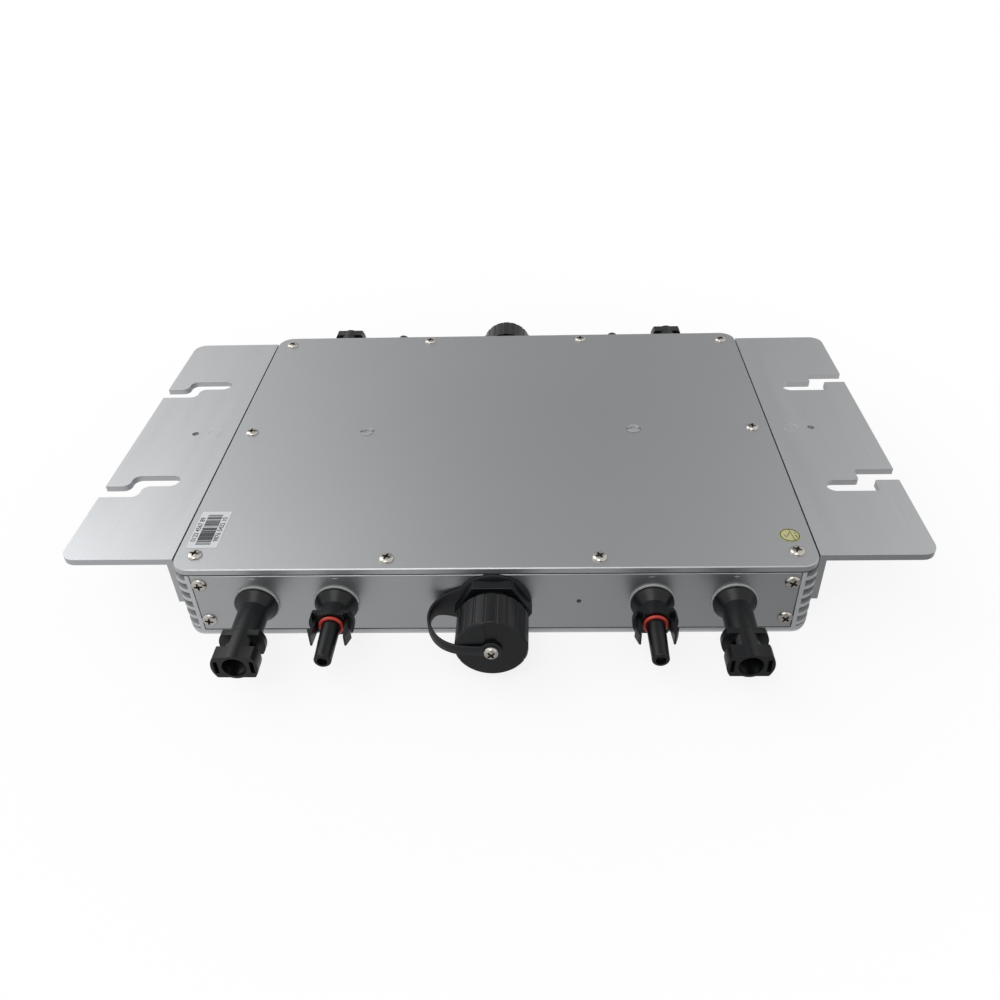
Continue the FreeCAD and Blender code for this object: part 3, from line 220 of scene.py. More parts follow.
def grained(name, shades, grain, detail, blotch=None, satin=None, span=(0.0, 1.0), relief=0.0, **sockets):
    """A material in two shades, mixed by a grain whose real size along X, Y and Z is in millimetres.

    A blotch, which is a broader grain with its own detail, mixes the shades in the grain's place. The
    grain may spread the roughness between two values, over a span of its own range, and it may raise
    the surface by a height in millimetres.
    """
    made, tree, shader = material(name, **sockets)
    spot = add(tree, "ShaderNodeTexCoord").outputs["Object"]
    marks = []
    for sizes, octaves in [(grain, detail)] + ([blotch] if blotch else []):
        scaled = add(tree, "ShaderNodeMapping", {"Vector": spot, "Scale": [1 / (s * MM) for s in sizes]})
        noise = add(tree, "ShaderNodeTexNoise", {"Vector": scaled.outputs[0], "Scale": 1.0,
                                                 "Detail": octaves})
        marks.append(noise.outputs["Fac"])
    mixed = add(tree, "ShaderNodeMix", {"Factor": marks[-1], "A": linear(shades[0]), "B": linear(shades[1])},
                data_type="RGBA")
    tree.links.new(mixed.outputs["Result"], shader.inputs["Base Color"])
    if satin:
        spread = add(tree, "ShaderNodeMapRange", {"Value": marks[0], "From Min": span[0], "From Max": span[1],
                                                  "To Min": satin[0], "To Max": satin[1]})
        tree.links.new(spread.outputs["Result"], shader.inputs["Roughness"])
    if relief:
        raised = add(tree, "ShaderNodeBump", {"Height": marks[0], "Distance": relief * MM})
        tree.links.new(raised.outputs["Normal"], shader.inputs["Normal"])
    return made


def settle(piece, *nodes):
    """Let a finished piece stand for CAD nodes: it rides on their body, and the nodes are hidden."""
    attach(piece, next(body for body, members in bodies.items() if nodes[0] in members))
    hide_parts(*nodes)


JOINED, FLAT, CORNER = 0.002, 0.4, 35  # a gap in millimetres, and two angles in degrees


def eased(node, finish, width, edge_finish=None, shortest=0.0):
    """Stand in for a CAD node with a copy whose edges are rounded by a width in millimetres.

    Its upright faces can have a finish of their own, and edges below the shortest length stay sharp.
    """
    shell = bmesh.new()
    shell.from_mesh(frame["nodes"][node].data)
    bmesh.ops.remove_doubles(shell, verts=shell.verts, dist=JOINED * MM)
    bmesh.ops.dissolve_limit(shell, angle_limit=math.radians(FLAT), verts=shell.verts, edges=shell.edges)
    rounded = shell.edges.layers.float.new("bevel_weight_edge")
    for edge in shell.edges:
        corner = len(edge.link_faces) == 2 and edge.calc_face_angle() > math.radians(CORNER)
        long_enough = edge.calc_length() >= shortest * MM
        edge[rounded] = float(corner and long_enough)
        edge.smooth = not corner or long_enough
    mesh = bpy.data.meshes.new(f"{node}_finished")
    shell.to_mesh(mesh)
    shell.free()
    mesh.shade_smooth()
    mesh.materials.append(finish)
    if edge_finish:
        mesh.materials.append(edge_finish)
        for face in mesh.polygons:
            face.material_index = int(abs(face.normal.z) < 0.5)
    piece = in_scene(mesh.name, mesh)
    rounding = piece.modifiers.new("rounding", "BEVEL")
    rounding.width = width * MM
    rounding.segments = 2
    rounding.limit_method = "WEIGHT"
    rounding.use_clamp_overlap = True
    weighting = piece.modifiers.new("weighting", "WEIGHTED_NORMAL")
    weighting.keep_sharp = True
    settle(piece, node)


def repaint(finish, *nodes):
    """Give CAD nodes whose shape is right a finish."""
    for node in nodes:
        frame["nodes"][node].data.materials.clear()
        frame["nodes"][node].data.materials.append(finish)


# Satin anodising over die lines 0.3 mm apart: a soft shine, drawn out along the ribs.
extrusion = grained("anodised extrusion", ("#B4B7B8", "#BEC0C2"), grain=(0.3, 60.0, 0.3), detail=3.0,
                    blotch=((60.0,) * 3, 2.0), satin=(0.34, 0.46), span=(0.3, 0.7), relief=0.012,
                    Metallic=0.55)
eased("base_channel", extrusion, width=0.25)


# --- Circuit boards, their standoffs and screws -------------------------------------------------
# The main board stands on eight threaded posts, and a control board stands up on it. Both are
# glass-epoxy laminate under green solder resist.

# Solder resist over woven glass: glossy green with a faint weave 0.5 mm wide and paler copper pours.
resist, tree, shader = material("green solder resist on glass epoxy", Roughness=0.32, Coat_Weight=0.3)
spot = add(tree, "ShaderNodeTexCoord").outputs["Object"]
weave = add(tree, "ShaderNodeTexChecker", {"Vector": spot, "Scale": 1 / (0.5 * MM)}).outputs["Fac"]
pours = add(tree, "ShaderNodeTexBrick", {"Vector": spot, "Scale": 1 / (30 * MM), "Mortar Size": 0.02,
                                         "Color1": linear("#1C6A36"), "Color2": linear("#23763F"),
                                         "Mortar": linear("#15552B")}).outputs["Color"]
threads = add(tree, "ShaderNodeBump", {"Height": weave, "Distance": 0.006 * MM})
tree.links.new(pours, shader.inputs["Base Color"])
tree.links.new(threads.outputs["Normal"], shader.inputs["Normal"])
repaint(resist, "main_circuit_board", "control_board")

# Zinc on turned steel: bright grey with tool marks 0.15 mm apart round each post and screw.
zinc = grained("zinc-plated turned steel", ("#B4B6B8", "#CACBCB"), grain=(8.0, 8.0, 0.15), detail=2.0,
               satin=(0.22, 0.42), Metallic=1.0)
repaint(zinc, "board_standoffs", "board_screws")


# --- Components on the boards -------------------------------------------------------------------
# Transformers and chokes on ferrite cores, input capacitors, relays, and power transistors
# clipped to two aluminium bars that carry their heat away.

# Sintered ferrite: a dull dark grey ceramic with grains that show as a fine speckle.
ferrite = grained("sintered ferrite", ("#303033", "#48484B"), grain=(0.4,) * 3, detail=4.0, relief=0.02,
                  Roughness=0.62)
repaint(ferrite, "transformer_cores", "filter_choke_cores")

# Enamelled copper wire, 0.9 mm thick and wound level. Each round is painted bright on its crown and dark in
# the valley between wires, a painted highlight and painted shade, and a bump raises it.
WIRE = 0.9
WAVE_TURN = 0.314  # a wave texture repeats every 0.314 of a unit at a scale of one
enamel, tree, shader = material("enamelled copper wire", Metallic=1.0, Roughness=0.26)
spot = add(tree, "ShaderNodeTexCoord").outputs["Object"]
rounds = add(tree, "ShaderNodeTexWave", {"Vector": spot, "Scale": WAVE_TURN / (WIRE * MM), "Distortion": 0.4,
                                         "Detail": 1.0}, bands_direction="Z").outputs["Fac"]
# Dark copper in the valleys and bright copper on the crowns: painted shade and painted highlight.
shades = add(tree, "ShaderNodeMix", {"Factor": rounds, "A": linear("#7A3A18"), "B": linear("#C9743A")},
             data_type="RGBA")
wires = add(tree, "ShaderNodeBump", {"Height": rounds, "Distance": 0.3 * MM})
tree.links.new(shades.outputs["Result"], shader.inputs["Base Color"])
tree.links.new(wires.outputs["Normal"], shader.inputs["Normal"])
repaint(enamel, "transformer_windings", "filter_choke_windings")

# A drawn aluminium can: bright, with faint draw lines up its wall.
drawn_can = grained("drawn aluminium can", ("#BEC0C3", "#D6D8DA"), grain=(0.4, 0.4, 30.0), detail=2.0,
                    satin=(0.16, 0.34), Metallic=1.0)
repaint(drawn_can, "input_capacitors")

# Sawn aluminium bar, left bare: greyer, with saw marks 0.6 mm apart along it.
sawn = grained("sawn aluminium bar", ("#A9ABAD", "#BCBEC0"), grain=(20.0, 0.6, 20.0), detail=3.0,
               relief=0.03, Metallic=1.0, Roughness=0.38)
repaint(sawn, "heat_spreader_bars")

# Moulded epoxy and relay covers: dark, a little glossy, with the fine skin of a polished mould.
epoxy = grained("moulded black epoxy", ("#1A1A1C", "#242427"), grain=(0.5,) * 3, detail=2.0,
                Roughness=0.4)
repaint(epoxy, "power_transistors", "controller_chips", "grid_relays")

# Bare rolled copper strip: warm and bright, with rolling lines and a few darker stains.
strip = grained("rolled copper strip", ("#B87048", "#E0A27C"), grain=(0.3, 0.3, 12.0), detail=2.0,
                blotch=((6.0,) * 3, 2.0), satin=(0.2, 0.4), Metallic=1.0)
repaint(strip, "contact_straps")


# --- End plates ---------------------------------------------------------------------------------
# Two cut plates of aluminium sheet, brushed from side to side and anodised. A minus and a plus are
# etched above each plug and socket.

# Brush strokes 0.25 mm wide and 30 mm long run across each plate, so its shine breaks into faint
# level streaks.
plate_metal = grained("cross-brushed anodised sheet", ("#A2A4A7", "#AEB0B2"), grain=(30.0, 0.25, 0.25),
                      detail=3.0, satin=(0.34, 0.44), span=(0.3, 0.7), relief=0.006, Metallic=1.0)
for plate in ("front_end_plate", "rear_end_plate"):
    eased(plate, plate_metal, width=0.45, shortest=12.0)


def in_mm(box):
    """The lowest and highest corners of a box in millimetres."""
    return [Vector(corner) / MM for corner in box]


def as_mesh(name, drawing, finish):
    """The plain mesh of a curve or of a text, with one finish."""
    holder = bpy.data.objects.new(name, drawing)
    mesh = bpy.data.meshes.new_from_object(holder)
    bpy.data.objects.remove(holder)
    mesh.name = name
    mesh.materials.clear()
    mesh.materials.append(finish)
    return mesh


def traced(name, lines, thickness, finish):
    """Thin raised lines along lists of points in millimetres, half sunk into the surface they mark."""
    curve = bpy.data.curves.new(name, "CURVE")
    curve.dimensions = "3D"
    curve.bevel_depth = thickness / 2 * MM
    curve.bevel_resolution = 1
    curve.use_fill_caps = True
    for points in lines:
        spline = curve.splines.new("POLY")
        spline.points.add(len(points) - 1)
        for point, place in zip(spline.points, points):
            point.co = (*[c * MM for c in place], 1.0)
    mesh = as_mesh(name, curve, finish)
    mesh.shade_smooth()
    piece = in_scene(name, mesh)
    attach(piece, "inverter")


# Laser etching: the anodising is burnt to a paler, rougher line.
etched = grained("laser-etched anodising", ("#AAACAE", "#B5B7B9"), grain=(0.3,) * 3, detail=2.0,
                 Metallic=0.85, Roughness=0.6)

face_y = in_mm(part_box("front_end_plate"))[0].y
MINUS_X, PLUS_X = 65.1, 99.4
SIGN_Z, SIGN_ARM, SIGN_LINE = 31.6, 1.1, 0.3
LEVEL, UPRIGHT = (1, 0), (0, 1)
sign_lines = []
for turn in (1, -1):
    for sign_x, arms in ((MINUS_X, [LEVEL]), (PLUS_X, [LEVEL, UPRIGHT]), (-MINUS_X, [LEVEL]),
                         (-PLUS_X, [LEVEL, UPRIGHT])):
        for reach_x, reach_z in arms:
            sign_lines.append([
                (turn * (sign_x + s * reach_x * SIGN_ARM), turn * face_y, SIGN_Z + s * reach_z * SIGN_ARM)
                for s in (-1, 1)
            ])
traced("polarity_signs", sign_lines, SIGN_LINE, etched)


# --- Cover, gasket and filler plugs -------------------------------------------------------------
# An aluminium sheet, blasted with fine beads and anodised, closes the case on a thin black gasket.
# Two grey nylon plugs close the holes through which the case is filled with potting resin; each has
# a dished top with two nicks.

# Bead blasting leaves pits a tenth of a millimetre wide. They are drawn 0.35 mm wide, so that the
# even satin surface still shows its grain.
blasted = grained("bead-blasted anodised sheet", ("#AEB0B2", "#B3B5B7"), grain=(0.35,) * 3, detail=2.0,
                  blotch=((90.0,) * 3, 1.0), satin=(0.36, 0.44), span=(0.3, 0.7), relief=0.006,
                  Metallic=1.0)

# The sheared edge of the sheet is duller and darker, with cutter marks 0.5 mm apart across it.
sheared = grained("sheared sheet edge", ("#A3A5A8", "#B4B6B8"), grain=(0.5, 0.5, 8.0), detail=3.0,
                  satin=(0.40, 0.56), Metallic=1.0)
eased("top_cover", blasted, width=0.25, edge_finish=sheared)

# Closed-cell rubber: black and matt, so it reads as a dark line under the cover.
foam, tree, shader = material("black closed-cell rubber", Roughness=0.7)
spot = add(tree, "ShaderNodeTexCoord").outputs["Object"]
cells = add(tree, "ShaderNodeTexVoronoi", {"Vector": spot, "Scale": 1 / (0.4 * MM)}).outputs["Distance"]
shades = add(tree, "ShaderNodeMix", {"Factor": cells, "A": linear("#232426"), "B": linear("#333538")},
             data_type="RGBA")
tree.links.new(shades.outputs["Result"], shader.inputs["Base Color"])
repaint(foam, "cover_gasket")

# Moulded silicone rubber: pale, soft to the eye, with a dusty skin.
silicone = grained("pale silicone rubber", ("#A9AAA9", "#B8B9B7"), grain=(0.8,) * 3, detail=3.0,
                   relief=0.01, Roughness=0.55)
repaint(silicone, "connector_seals", "front_cap_seal", "rear_cap_seal")


def skin(shell, rings):
    """Lay faces between neighbouring rings of vertices. A ring of one vertex is a point on the axis."""
    for near, far in zip(rings, rings[1:]):
        for i in range(max(len(near), len(far))):
            j = i + 1
            corners = [near[i % len(near)], near[j % len(near)], far[j % len(far)], far[i % len(far)]]
            shell.faces.new(list(dict.fromkeys(corners)))


def closed(name, shell, finish, crease):
    """Turn a closed shell into a smooth mesh whose edges above an angle in degrees stay sharp."""
    bmesh.ops.recalc_face_normals(shell, faces=shell.faces)
    mesh = bpy.data.meshes.new(name)
    shell.to_mesh(mesh)
    shell.free()
    mesh.materials.append(finish)
    mesh.shade_smooth()
    mesh.set_sharp_from_angle(angle=math.radians(crease))
    return mesh


def lathed(shell, axis_x, outline, nick_floor, steps=64):
    """Add a solid turned about an upright axis from (radius, height) points in millimetres.

    Two nicks on the axis's left and right are sunk to the nick floor.
    """
    rings = []
    for radius, height in outline:
        spots = [(axis_x, 0.0, height)] if radius == 0 else []
        for angle in [math.tau * i / steps for i in range(steps) if radius]:
            level = min(height, nick_floor) if abs(math.sin(angle)) < NICK_HALF_WIDTH else height
            spots.append((axis_x + radius * math.cos(angle), radius * math.sin(angle), level))
        rings.append([shell.verts.new(Vector(spot) * MM) for spot in spots])
    skin(shell, rings)


# Moulded nylon: grey, slightly waxy.
nylon = grained("grey moulded nylon", ("#9A9D9E", "#A9ACAD"), grain=(0.4,) * 3, detail=3.0,
                Roughness=0.42, Subsurface_Weight=0.1, Subsurface_Scale=0.5 * MM)

low, high = in_mm(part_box("seal_plugs"))
plug_radius = (high.y - low.y) / 2
plug_top = high.z
PLUG_HEAD, PLUG_STEM, PLUG_ROUND = 2.4, 2.55, 0.25
DISH_LIP, DISH_RADIUS, DISH_DEPTH, NICK_DEPTH = 2.6, 2.0, 1.2, 1.1
NICK_HALF_WIDTH = 0.3  # as a share of the radius
plug_outline = [
    (0, low.z), (PLUG_STEM - 0.15, low.z), (PLUG_STEM, low.z + 0.3), (PLUG_STEM, plug_top - PLUG_HEAD),
    (plug_radius, plug_top - PLUG_HEAD), (plug_radius, plug_top - PLUG_ROUND),
    (plug_radius - PLUG_ROUND, plug_top), (DISH_LIP, plug_top), (DISH_LIP - 0.25, plug_top - 0.2),
    (DISH_RADIUS, plug_top - NICK_DEPTH), (0, plug_top - DISH_DEPTH),
]
plugs = bmesh.new()
for plug_x in (low.x + plug_radius, high.x - plug_radius):
    lathed(plugs, plug_x, plug_outline, plug_top - NICK_DEPTH)
settle(in_scene("filler_plugs", closed("filler_plugs", plugs, nylon, crease=40)), "seal_plugs")


# --- Mounting brackets --------------------------------------------------------------------------
# Each is a 3 mm aluminium angle with two stepped slots milled into its flange. The flange is
# brushed from front to rear before it is anodised, and an earth symbol is stamped by its hole.

# Brush strokes 0.28 mm apart and some 45 mm long give a straight grain and a streaky shine.
brushed, tree, shader = material("brushed anodised plate", Metallic=1.0)
spot = add(tree, "ShaderNodeTexCoord").outputs["Object"]
stroke = add(tree, "ShaderNodeMapping", {"Vector": spot, "Scale": [1 / (s * MM) for s in (0.28, 45.0, 0.28)]})
strokes = add(tree, "ShaderNodeTexNoise", {"Vector": stroke.outputs[0], "Scale": 1.0,
                                            "Detail": 4.0}).outputs["Fac"]
broad = add(tree, "ShaderNodeMapping", {"Vector": spot, "Scale": [1 / (s * MM) for s in (9.0, 120.0, 9.0)]})
bands = add(tree, "ShaderNodeTexNoise", {"Vector": broad.outputs[0], "Scale": 1.0,
                                          "Detail": 2.0}).outputs["Fac"]
shades = add(tree, "ShaderNodeMix", {"Factor": strokes, "A": linear("#B6B8BA"), "B": linear("#C1C3C5")},
             data_type="RGBA")
satin = add(tree, "ShaderNodeMapRange", {"Value": bands, "From Min": 0.3, "From Max": 0.7,
                                         "To Min": 0.34, "To Max": 0.42})
scratches = add(tree, "ShaderNodeBump", {"Height": strokes, "Distance": 0.005 * MM})
tree.links.new(shades.outputs["Result"], shader.inputs["Base Color"])
tree.links.new(satin.outputs["Result"], shader.inputs["Roughness"])
tree.links.new(scratches.outputs["Normal"], shader.inputs["Normal"])
for bracket in ("left_mounting_bracket", "right_mounting_bracket"):
    eased(bracket, brushed, width=0.3, edge_finish=sheared)

EARTH_X, EARTH_RADIUS, EARTH_LINE = 144.0, 3.3, 0.22
STEM_TOP = 2.2
EARTH_BARS = [(1.7, 0.2), (1.1, -0.8), (0.5, -1.8)]  # half length, and place along the stem
wing_top = in_mm(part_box("right_mounting_bracket"))[1].z


def ring_line(centre, radius, steps):
    """The points of a level circle in millimetres, its first point repeated at its end."""
    angles = [math.tau * i / steps for i in range(steps + 1)]
    return [(centre[0] + radius * math.cos(a), centre[1] + radius * math.sin(a), centre[2]) for a in angles]


for name, x in (("left_earth_symbol", -EARTH_X), ("right_earth_symbol", EARTH_X)):
    circle = ring_line((x, 0.0, wing_top), EARTH_RADIUS, 40)
    stem = [(x, STEM_TOP, wing_top), (x, EARTH_BARS[0][1], wing_top)]
    rungs = [[(x - half, level, wing_top), (x + half, level, wing_top)] for half, level in EARTH_BARS]
    traced(name, [circle, stem, *rungs], EARTH_LINE, brushed)


# --- Screws -------------------------------------------------------------------------------------
# Nickel-plated steel screws with domed pan heads and cross recesses hold the cover, the end plates
# and the dust caps. Countersunk socket screws hold the brackets.

# Bright nickel over cold-headed steel: mirror-like, a little warm, with soft handling marks.
nickel = grained("bright nickel-plated steel", ("#A7A39D", "#C6C1BB"), grain=(0.9,) * 3, detail=3.0,
                 satin=(0.10, 0.24), Metallic=1.0)

# The recess that the driver bit leaves is painted almost black: a painted shade for the shadow inside the
# cross.
recess_painted_shade = grained("painted shade in screw recess", ("#2C2824", "#4F4943"), grain=(0.4,) * 3, detail=3.0, Metallic=0.5,
                Roughness=0.5)


def geometry_tree(name, sizes, finishes):
    """A new geometry tree and its inputs: the places it grows on, its named sizes and its finishes."""
    tree = bpy.data.node_groups.new(name, "GeometryNodeTree")
    tree.interface.new_socket("Geometry", in_out="INPUT", socket_type="NodeSocketGeometry")
    for label, size in sizes.items():
        kind = "NodeSocketInt" if isinstance(size, int) else "NodeSocketFloat"
        tree.interface.new_socket(label, in_out="INPUT", socket_type=kind).default_value = size
    for label in finishes:
        tree.interface.new_socket(label, in_out="INPUT", socket_type="NodeSocketMaterial")
    tree.interface.new_socket("Geometry", in_out="OUTPUT", socket_type="NodeSocketGeometry")
    return tree, add(tree, "NodeGroupInput").outputs


HEAD_CREASE = 38  # degrees


def grown(name, tree, points, turns, finishes, **sizes):
    """Run a geometry tree on places in millimetres, each with its turn, and keep the plain mesh.

    The finishes and sizes are given by the names of the tree's inputs.
    """
    seeds = bpy.data.meshes.new(name)
    seeds.from_pydata([Vector(point) * MM for point in points], [], [])
    turned = seeds.attributes.new("turn", "FLOAT_VECTOR", "POINT")
    for item, turn in zip(turned.data, turns):
        item.vector = turn
    holder = in_scene(name, seeds)
    growth = holder.modifiers.new("growth", "NODES")
    growth.node_group = tree
    for item in tree.interface.items_tree:
        if item.in_out == "INPUT" and item.name in {**finishes, **sizes}:
            growth[item.identifier] = {**finishes, **sizes}[item.name]
    evaluated = holder.evaluated_get(bpy.context.evaluated_depsgraph_get())
    mesh = bpy.data.meshes.new_from_object(evaluated)
    bpy.data.objects.remove(holder)
    mesh.name = name
    mesh.shade_smooth()
    mesh.set_sharp_from_angle(angle=math.radians(HEAD_CREASE))
    return in_scene(name, mesh)


# A pan head: a short upright rim, a dome in four cones and a flat crown, less a cross of two blades
# and a cone. It is made in millimetres and set on every place at its turn.
heads, given = geometry_tree("pan_head_screws", {
    "Head radius": 3.2, "Head height": 1.4, "Shank radius": 1.5, "Shank length": 5.6,
    "Cross reach": 3.7, "Cross width": 0.85, "Seed": 3,
}, ("Finish", "Recess painted shade"))
# The dome's outline as shares of the head's radius and height, and the recess in millimetres.
DOME = [(1.0, 0.0), (1.0, 0.22), (0.95, 0.45), (0.84, 0.70), (0.66, 0.90), (0.40, 1.0)]
HEAD_SIDES = 40
BLADE_HEIGHT = 1.8  # half of it stands above the crown
PIT_DEPTH, PIT_SINK, PIT_FLOOR, PIT_MOUTH = 1.6, 1.25, 0.2, 1.15
dome_parts = []
for (near_radius, near_height), (far_radius, far_height) in zip(DOME, DOME[1:]):
    cone = add(heads, "GeometryNodeMeshCone", {"Vertices": HEAD_SIDES, "Radius Bottom": near_radius,
                                               "Radius Top": far_radius, "Depth": far_height - near_height},
               fill_type="NONE")
    dome_parts.append(add(heads, "GeometryNodeTransform", {"Geometry": cone.outputs["Mesh"],
                                                           "Translation": (0, 0, near_height)}).outputs[0])
for radius, height in (DOME[0], DOME[-1]):
    disc = add(heads, "GeometryNodeMeshCircle", {"Vertices": HEAD_SIDES, "Radius": radius}, fill_type="NGON")
    if height == 0.0:
        disc = add(heads, "GeometryNodeFlipFaces", {"Mesh": disc.outputs["Mesh"]})
    dome_parts.append(add(heads, "GeometryNodeTransform", {"Geometry": disc.outputs[0],
                                                           "Translation": (0, 0, height)}).outputs[0])
dome = add(heads, "GeometryNodeJoinGeometry")
for part in dome_parts:
    heads.links.new(part, dome.inputs["Geometry"])
sealed = add(heads, "GeometryNodeMergeByDistance", {"Geometry": dome.outputs[0], "Distance": 0.001})
stretch = add(heads, "ShaderNodeCombineXYZ", {"X": given["Head radius"], "Y": given["Head radius"],
                                              "Z": given["Head height"]})
sized = add(heads, "GeometryNodeTransform", {"Geometry": sealed.outputs[0], "Scale": stretch.outputs[0]})
crown = add(heads, "ShaderNodeCombineXYZ", {"Z": given["Head height"]}).outputs[0]
cross = add(heads, "GeometryNodeJoinGeometry")
for quarter in (0.0, math.pi / 2):
    span = add(heads, "ShaderNodeCombineXYZ", {"X": given["Cross reach"], "Y": given["Cross width"],
                                              "Z": BLADE_HEIGHT})
    blade = add(heads, "GeometryNodeMeshCube", {"Size": span.outputs[0]})
    laid = add(heads, "GeometryNodeTransform", {"Geometry": blade.outputs["Mesh"], "Translation": crown,
                                                "Rotation": (0.0, 0.0, quarter)})
    heads.links.new(laid.outputs[0], cross.inputs["Geometry"])
pit = add(heads, "GeometryNodeMeshCone", {"Vertices": 16, "Radius Bottom": PIT_FLOOR, "Radius Top": PIT_MOUTH,
                                          "Depth": PIT_DEPTH})
pit_place = add(heads, "ShaderNodeVectorMath", {0: crown, 1: (0, 0, -PIT_SINK)}, operation="ADD").outputs[0]
pit = add(heads, "GeometryNodeTransform", {"Geometry": pit.outputs["Mesh"], "Translation": pit_place})
heads.links.new(pit.outputs[0], cross.inputs["Geometry"])
# The cross and cone carry the painted shade, which the faces they cut into the head keep.
painted_shade_cutter = add(heads, "GeometryNodeSetMaterial", {"Geometry": cross.outputs[0],
                                               "Material": given["Recess painted shade"]})
driven = add(heads, "GeometryNodeMeshBoolean", {"Mesh 1": sized.outputs[0], "Mesh 2": painted_shade_cutter.outputs[0],
                                                "Self Intersection": True},
             operation="DIFFERENCE", solver="EXACT")
shank = add(heads, "GeometryNodeMeshCylinder", {"Vertices": 24, "Radius": given["Shank radius"],
                                                "Depth": given["Shank length"]})
half = add(heads, "ShaderNodeMath", {0: given["Shank length"], 1: -0.5}, operation="MULTIPLY").outputs[0]
sunk = add(heads, "ShaderNodeCombineXYZ", {"Z": half}).outputs[0]
hung = add(heads, "GeometryNodeTransform", {"Geometry": shank.outputs["Mesh"], "Translation": sunk})
screw = add(heads, "GeometryNodeJoinGeometry", {"Geometry": driven.outputs["Mesh"]})
heads.links.new(hung.outputs[0], screw.inputs["Geometry"])
turn = add(heads, "GeometryNodeInputNamedAttribute", {"Name": "turn"}, data_type="FLOAT_VECTOR")
facing = add(heads, "FunctionNodeEulerToRotation", {"Euler": turn.outputs["Attribute"]}).outputs[0]
placed = add(heads, "GeometryNodeInstanceOnPoints", {"Points": given["Geometry"],
                                                     "Instance": screw.outputs[0],
                                                     "Rotation": facing, "Scale": (MM, MM, MM)})
stop = add(heads, "FunctionNodeRandomValue", {"Min": (0, 0, 0), "Max": (0, 0, math.tau),
                                              "Seed": given["Seed"]}, data_type="FLOAT_VECTOR")
stop = add(heads, "FunctionNodeEulerToRotation", {"Euler": stop.outputs["Value"]}).outputs[0]
driven_home = add(heads, "GeometryNodeRotateInstances", {"Instances": placed.outputs[0],
                                                         "Rotation": stop})
solid = add(heads, "GeometryNodeRealizeInstances", {"Geometry": driven_home.outputs[0]})
# Every face but the recess's painted shade takes the plating.
recess = add(heads, "GeometryNodeMaterialSelection", {"Material": given["Recess painted shade"]}).outputs[0]
bright = add(heads, "FunctionNodeBooleanMath", {0: recess}, operation="NOT").outputs[0]
plated = add(heads, "GeometryNodeSetMaterial", {"Geometry": solid.outputs[0], "Selection": bright,
                                                "Material": given["Finish"]})
add(heads, "NodeGroupOutput", {"Geometry": plated.outputs[0]})

UP = (0.0, 0.0, 0.0)
TO_FRONT = (math.pi / 2, 0.0, 0.0)
TO_REAR = (-math.pi / 2, 0.0, 0.0)
cover_top = in_mm(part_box("top_cover"))[1].z
EDGE_X, CORNER_Y, MIDDLE_X, END_Y = 125.0, 94.7, 44.0, 97.6
cover_places = [(x, y, cover_top) for x in (-EDGE_X, EDGE_X) for y in (-CORNER_Y, 0.0, CORNER_Y)]
cover_places += [(x, y, cover_top) for x in (-MIDDLE_X, MIDDLE_X) for y in (-END_Y, END_Y)]
steel = {"Finish": nickel, "Recess painted shade": recess_painted_shade}
settle(grown("cover_screw_heads", heads, cover_places, [UP] * len(cover_places), steel), "cover_screws")

PORT_X, PORT_LOW, PORT_HIGH = 122.4, 8.5, 28.4
plate_places = [
    (x, y, z) for y in (face_y, -face_y) for x in (-PORT_X, PORT_X) for z in (PORT_LOW, PORT_HIGH)
]
plate_turns = [TO_FRONT if y < 0 else TO_REAR for x, y, z in plate_places]
settle(grown("end_plate_screw_heads", heads, plate_places, plate_turns, steel,
             **{"Shank radius": 1.9, "Shank length": 10.0}), "end_plate_screws")
eased("bracket_screws", nickel, width=0.15)


# --- Label and sticker --------------------------------------------------------------------------
# A white polyester label with a bar code between two rows of figures, and a small round paper
# sticker that an inspector ticks. Both are printed, and stuck on the cover.

# Printed polyester film: white, with the faint mottle of a laminated sheet.
film = grained("white polyester film", ("#CBCED0", "#D5D8DA"), grain=(2.0,) * 3, detail=3.0,
               Roughness=0.35)
eased("barcode_label", film, width=0.05)

# Thermal print: dense black with worn specks.
ink = grained("black thermal print", ("#1E2022", "#3A3D40"), grain=(0.5,) * 3, detail=2.0, Roughness=0.5)

BAR_COUNT, BAR_PITCH = 40, 0.52
INK_HEIGHT = 0.03
bars, given = geometry_tree("printed_bars", {
    "Count": BAR_COUNT, "Pitch": BAR_PITCH, "Length": 6.4, "Seed": 5,
}, ("Finish",))
stride = add(bars, "ShaderNodeMath", {0: given["Pitch"], 1: MM}, operation="MULTIPLY").outputs[0]
step = add(bars, "ShaderNodeCombineXYZ", {"Y": stride}).outputs[0]
row = add(bars, "GeometryNodeMeshLine", {"Count": given["Count"], "Offset": step})
size = add(bars, "ShaderNodeCombineXYZ", {"X": given["Length"], "Y": given["Pitch"], "Z": INK_HEIGHT})
bar = add(bars, "GeometryNodeMeshCube", {"Size": size.outputs[0]})
width = add(bars, "FunctionNodeRandomValue", {"Min": (MM, 0.25 * MM, MM), "Max": (MM, 1.1 * MM, MM),
                                              "Seed": given["Seed"]}, data_type="FLOAT_VECTOR")
printed = add(bars, "GeometryNodeInstanceOnPoints", {"Points": row.outputs["Mesh"],
                                                     "Instance": bar.outputs["Mesh"],
                                                     "Scale": width.outputs["Value"]})
solid = add(bars, "GeometryNodeRealizeInstances", {"Geometry": printed.outputs[0]})
inked = add(bars, "GeometryNodeSetMaterial", {"Geometry": solid.outputs[0], "Material": given["Finish"]})
add(bars, "NodeGroupOutput", {"Geometry": inked.outputs[0]})

low, high = in_mm(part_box("barcode_label"))
label_middle = (low + high) / 2
bar_print = grown("bar_code", bars, [(0, 0, 0)], [UP], {"Finish": ink})
row_start = Vector((label_middle.x, label_middle.y - (BAR_COUNT - 1) * BAR_PITCH / 2, high.z))
bar_print.data.transform(Matrix.Translation(row_start * MM))
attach(bar_print, "inverter")


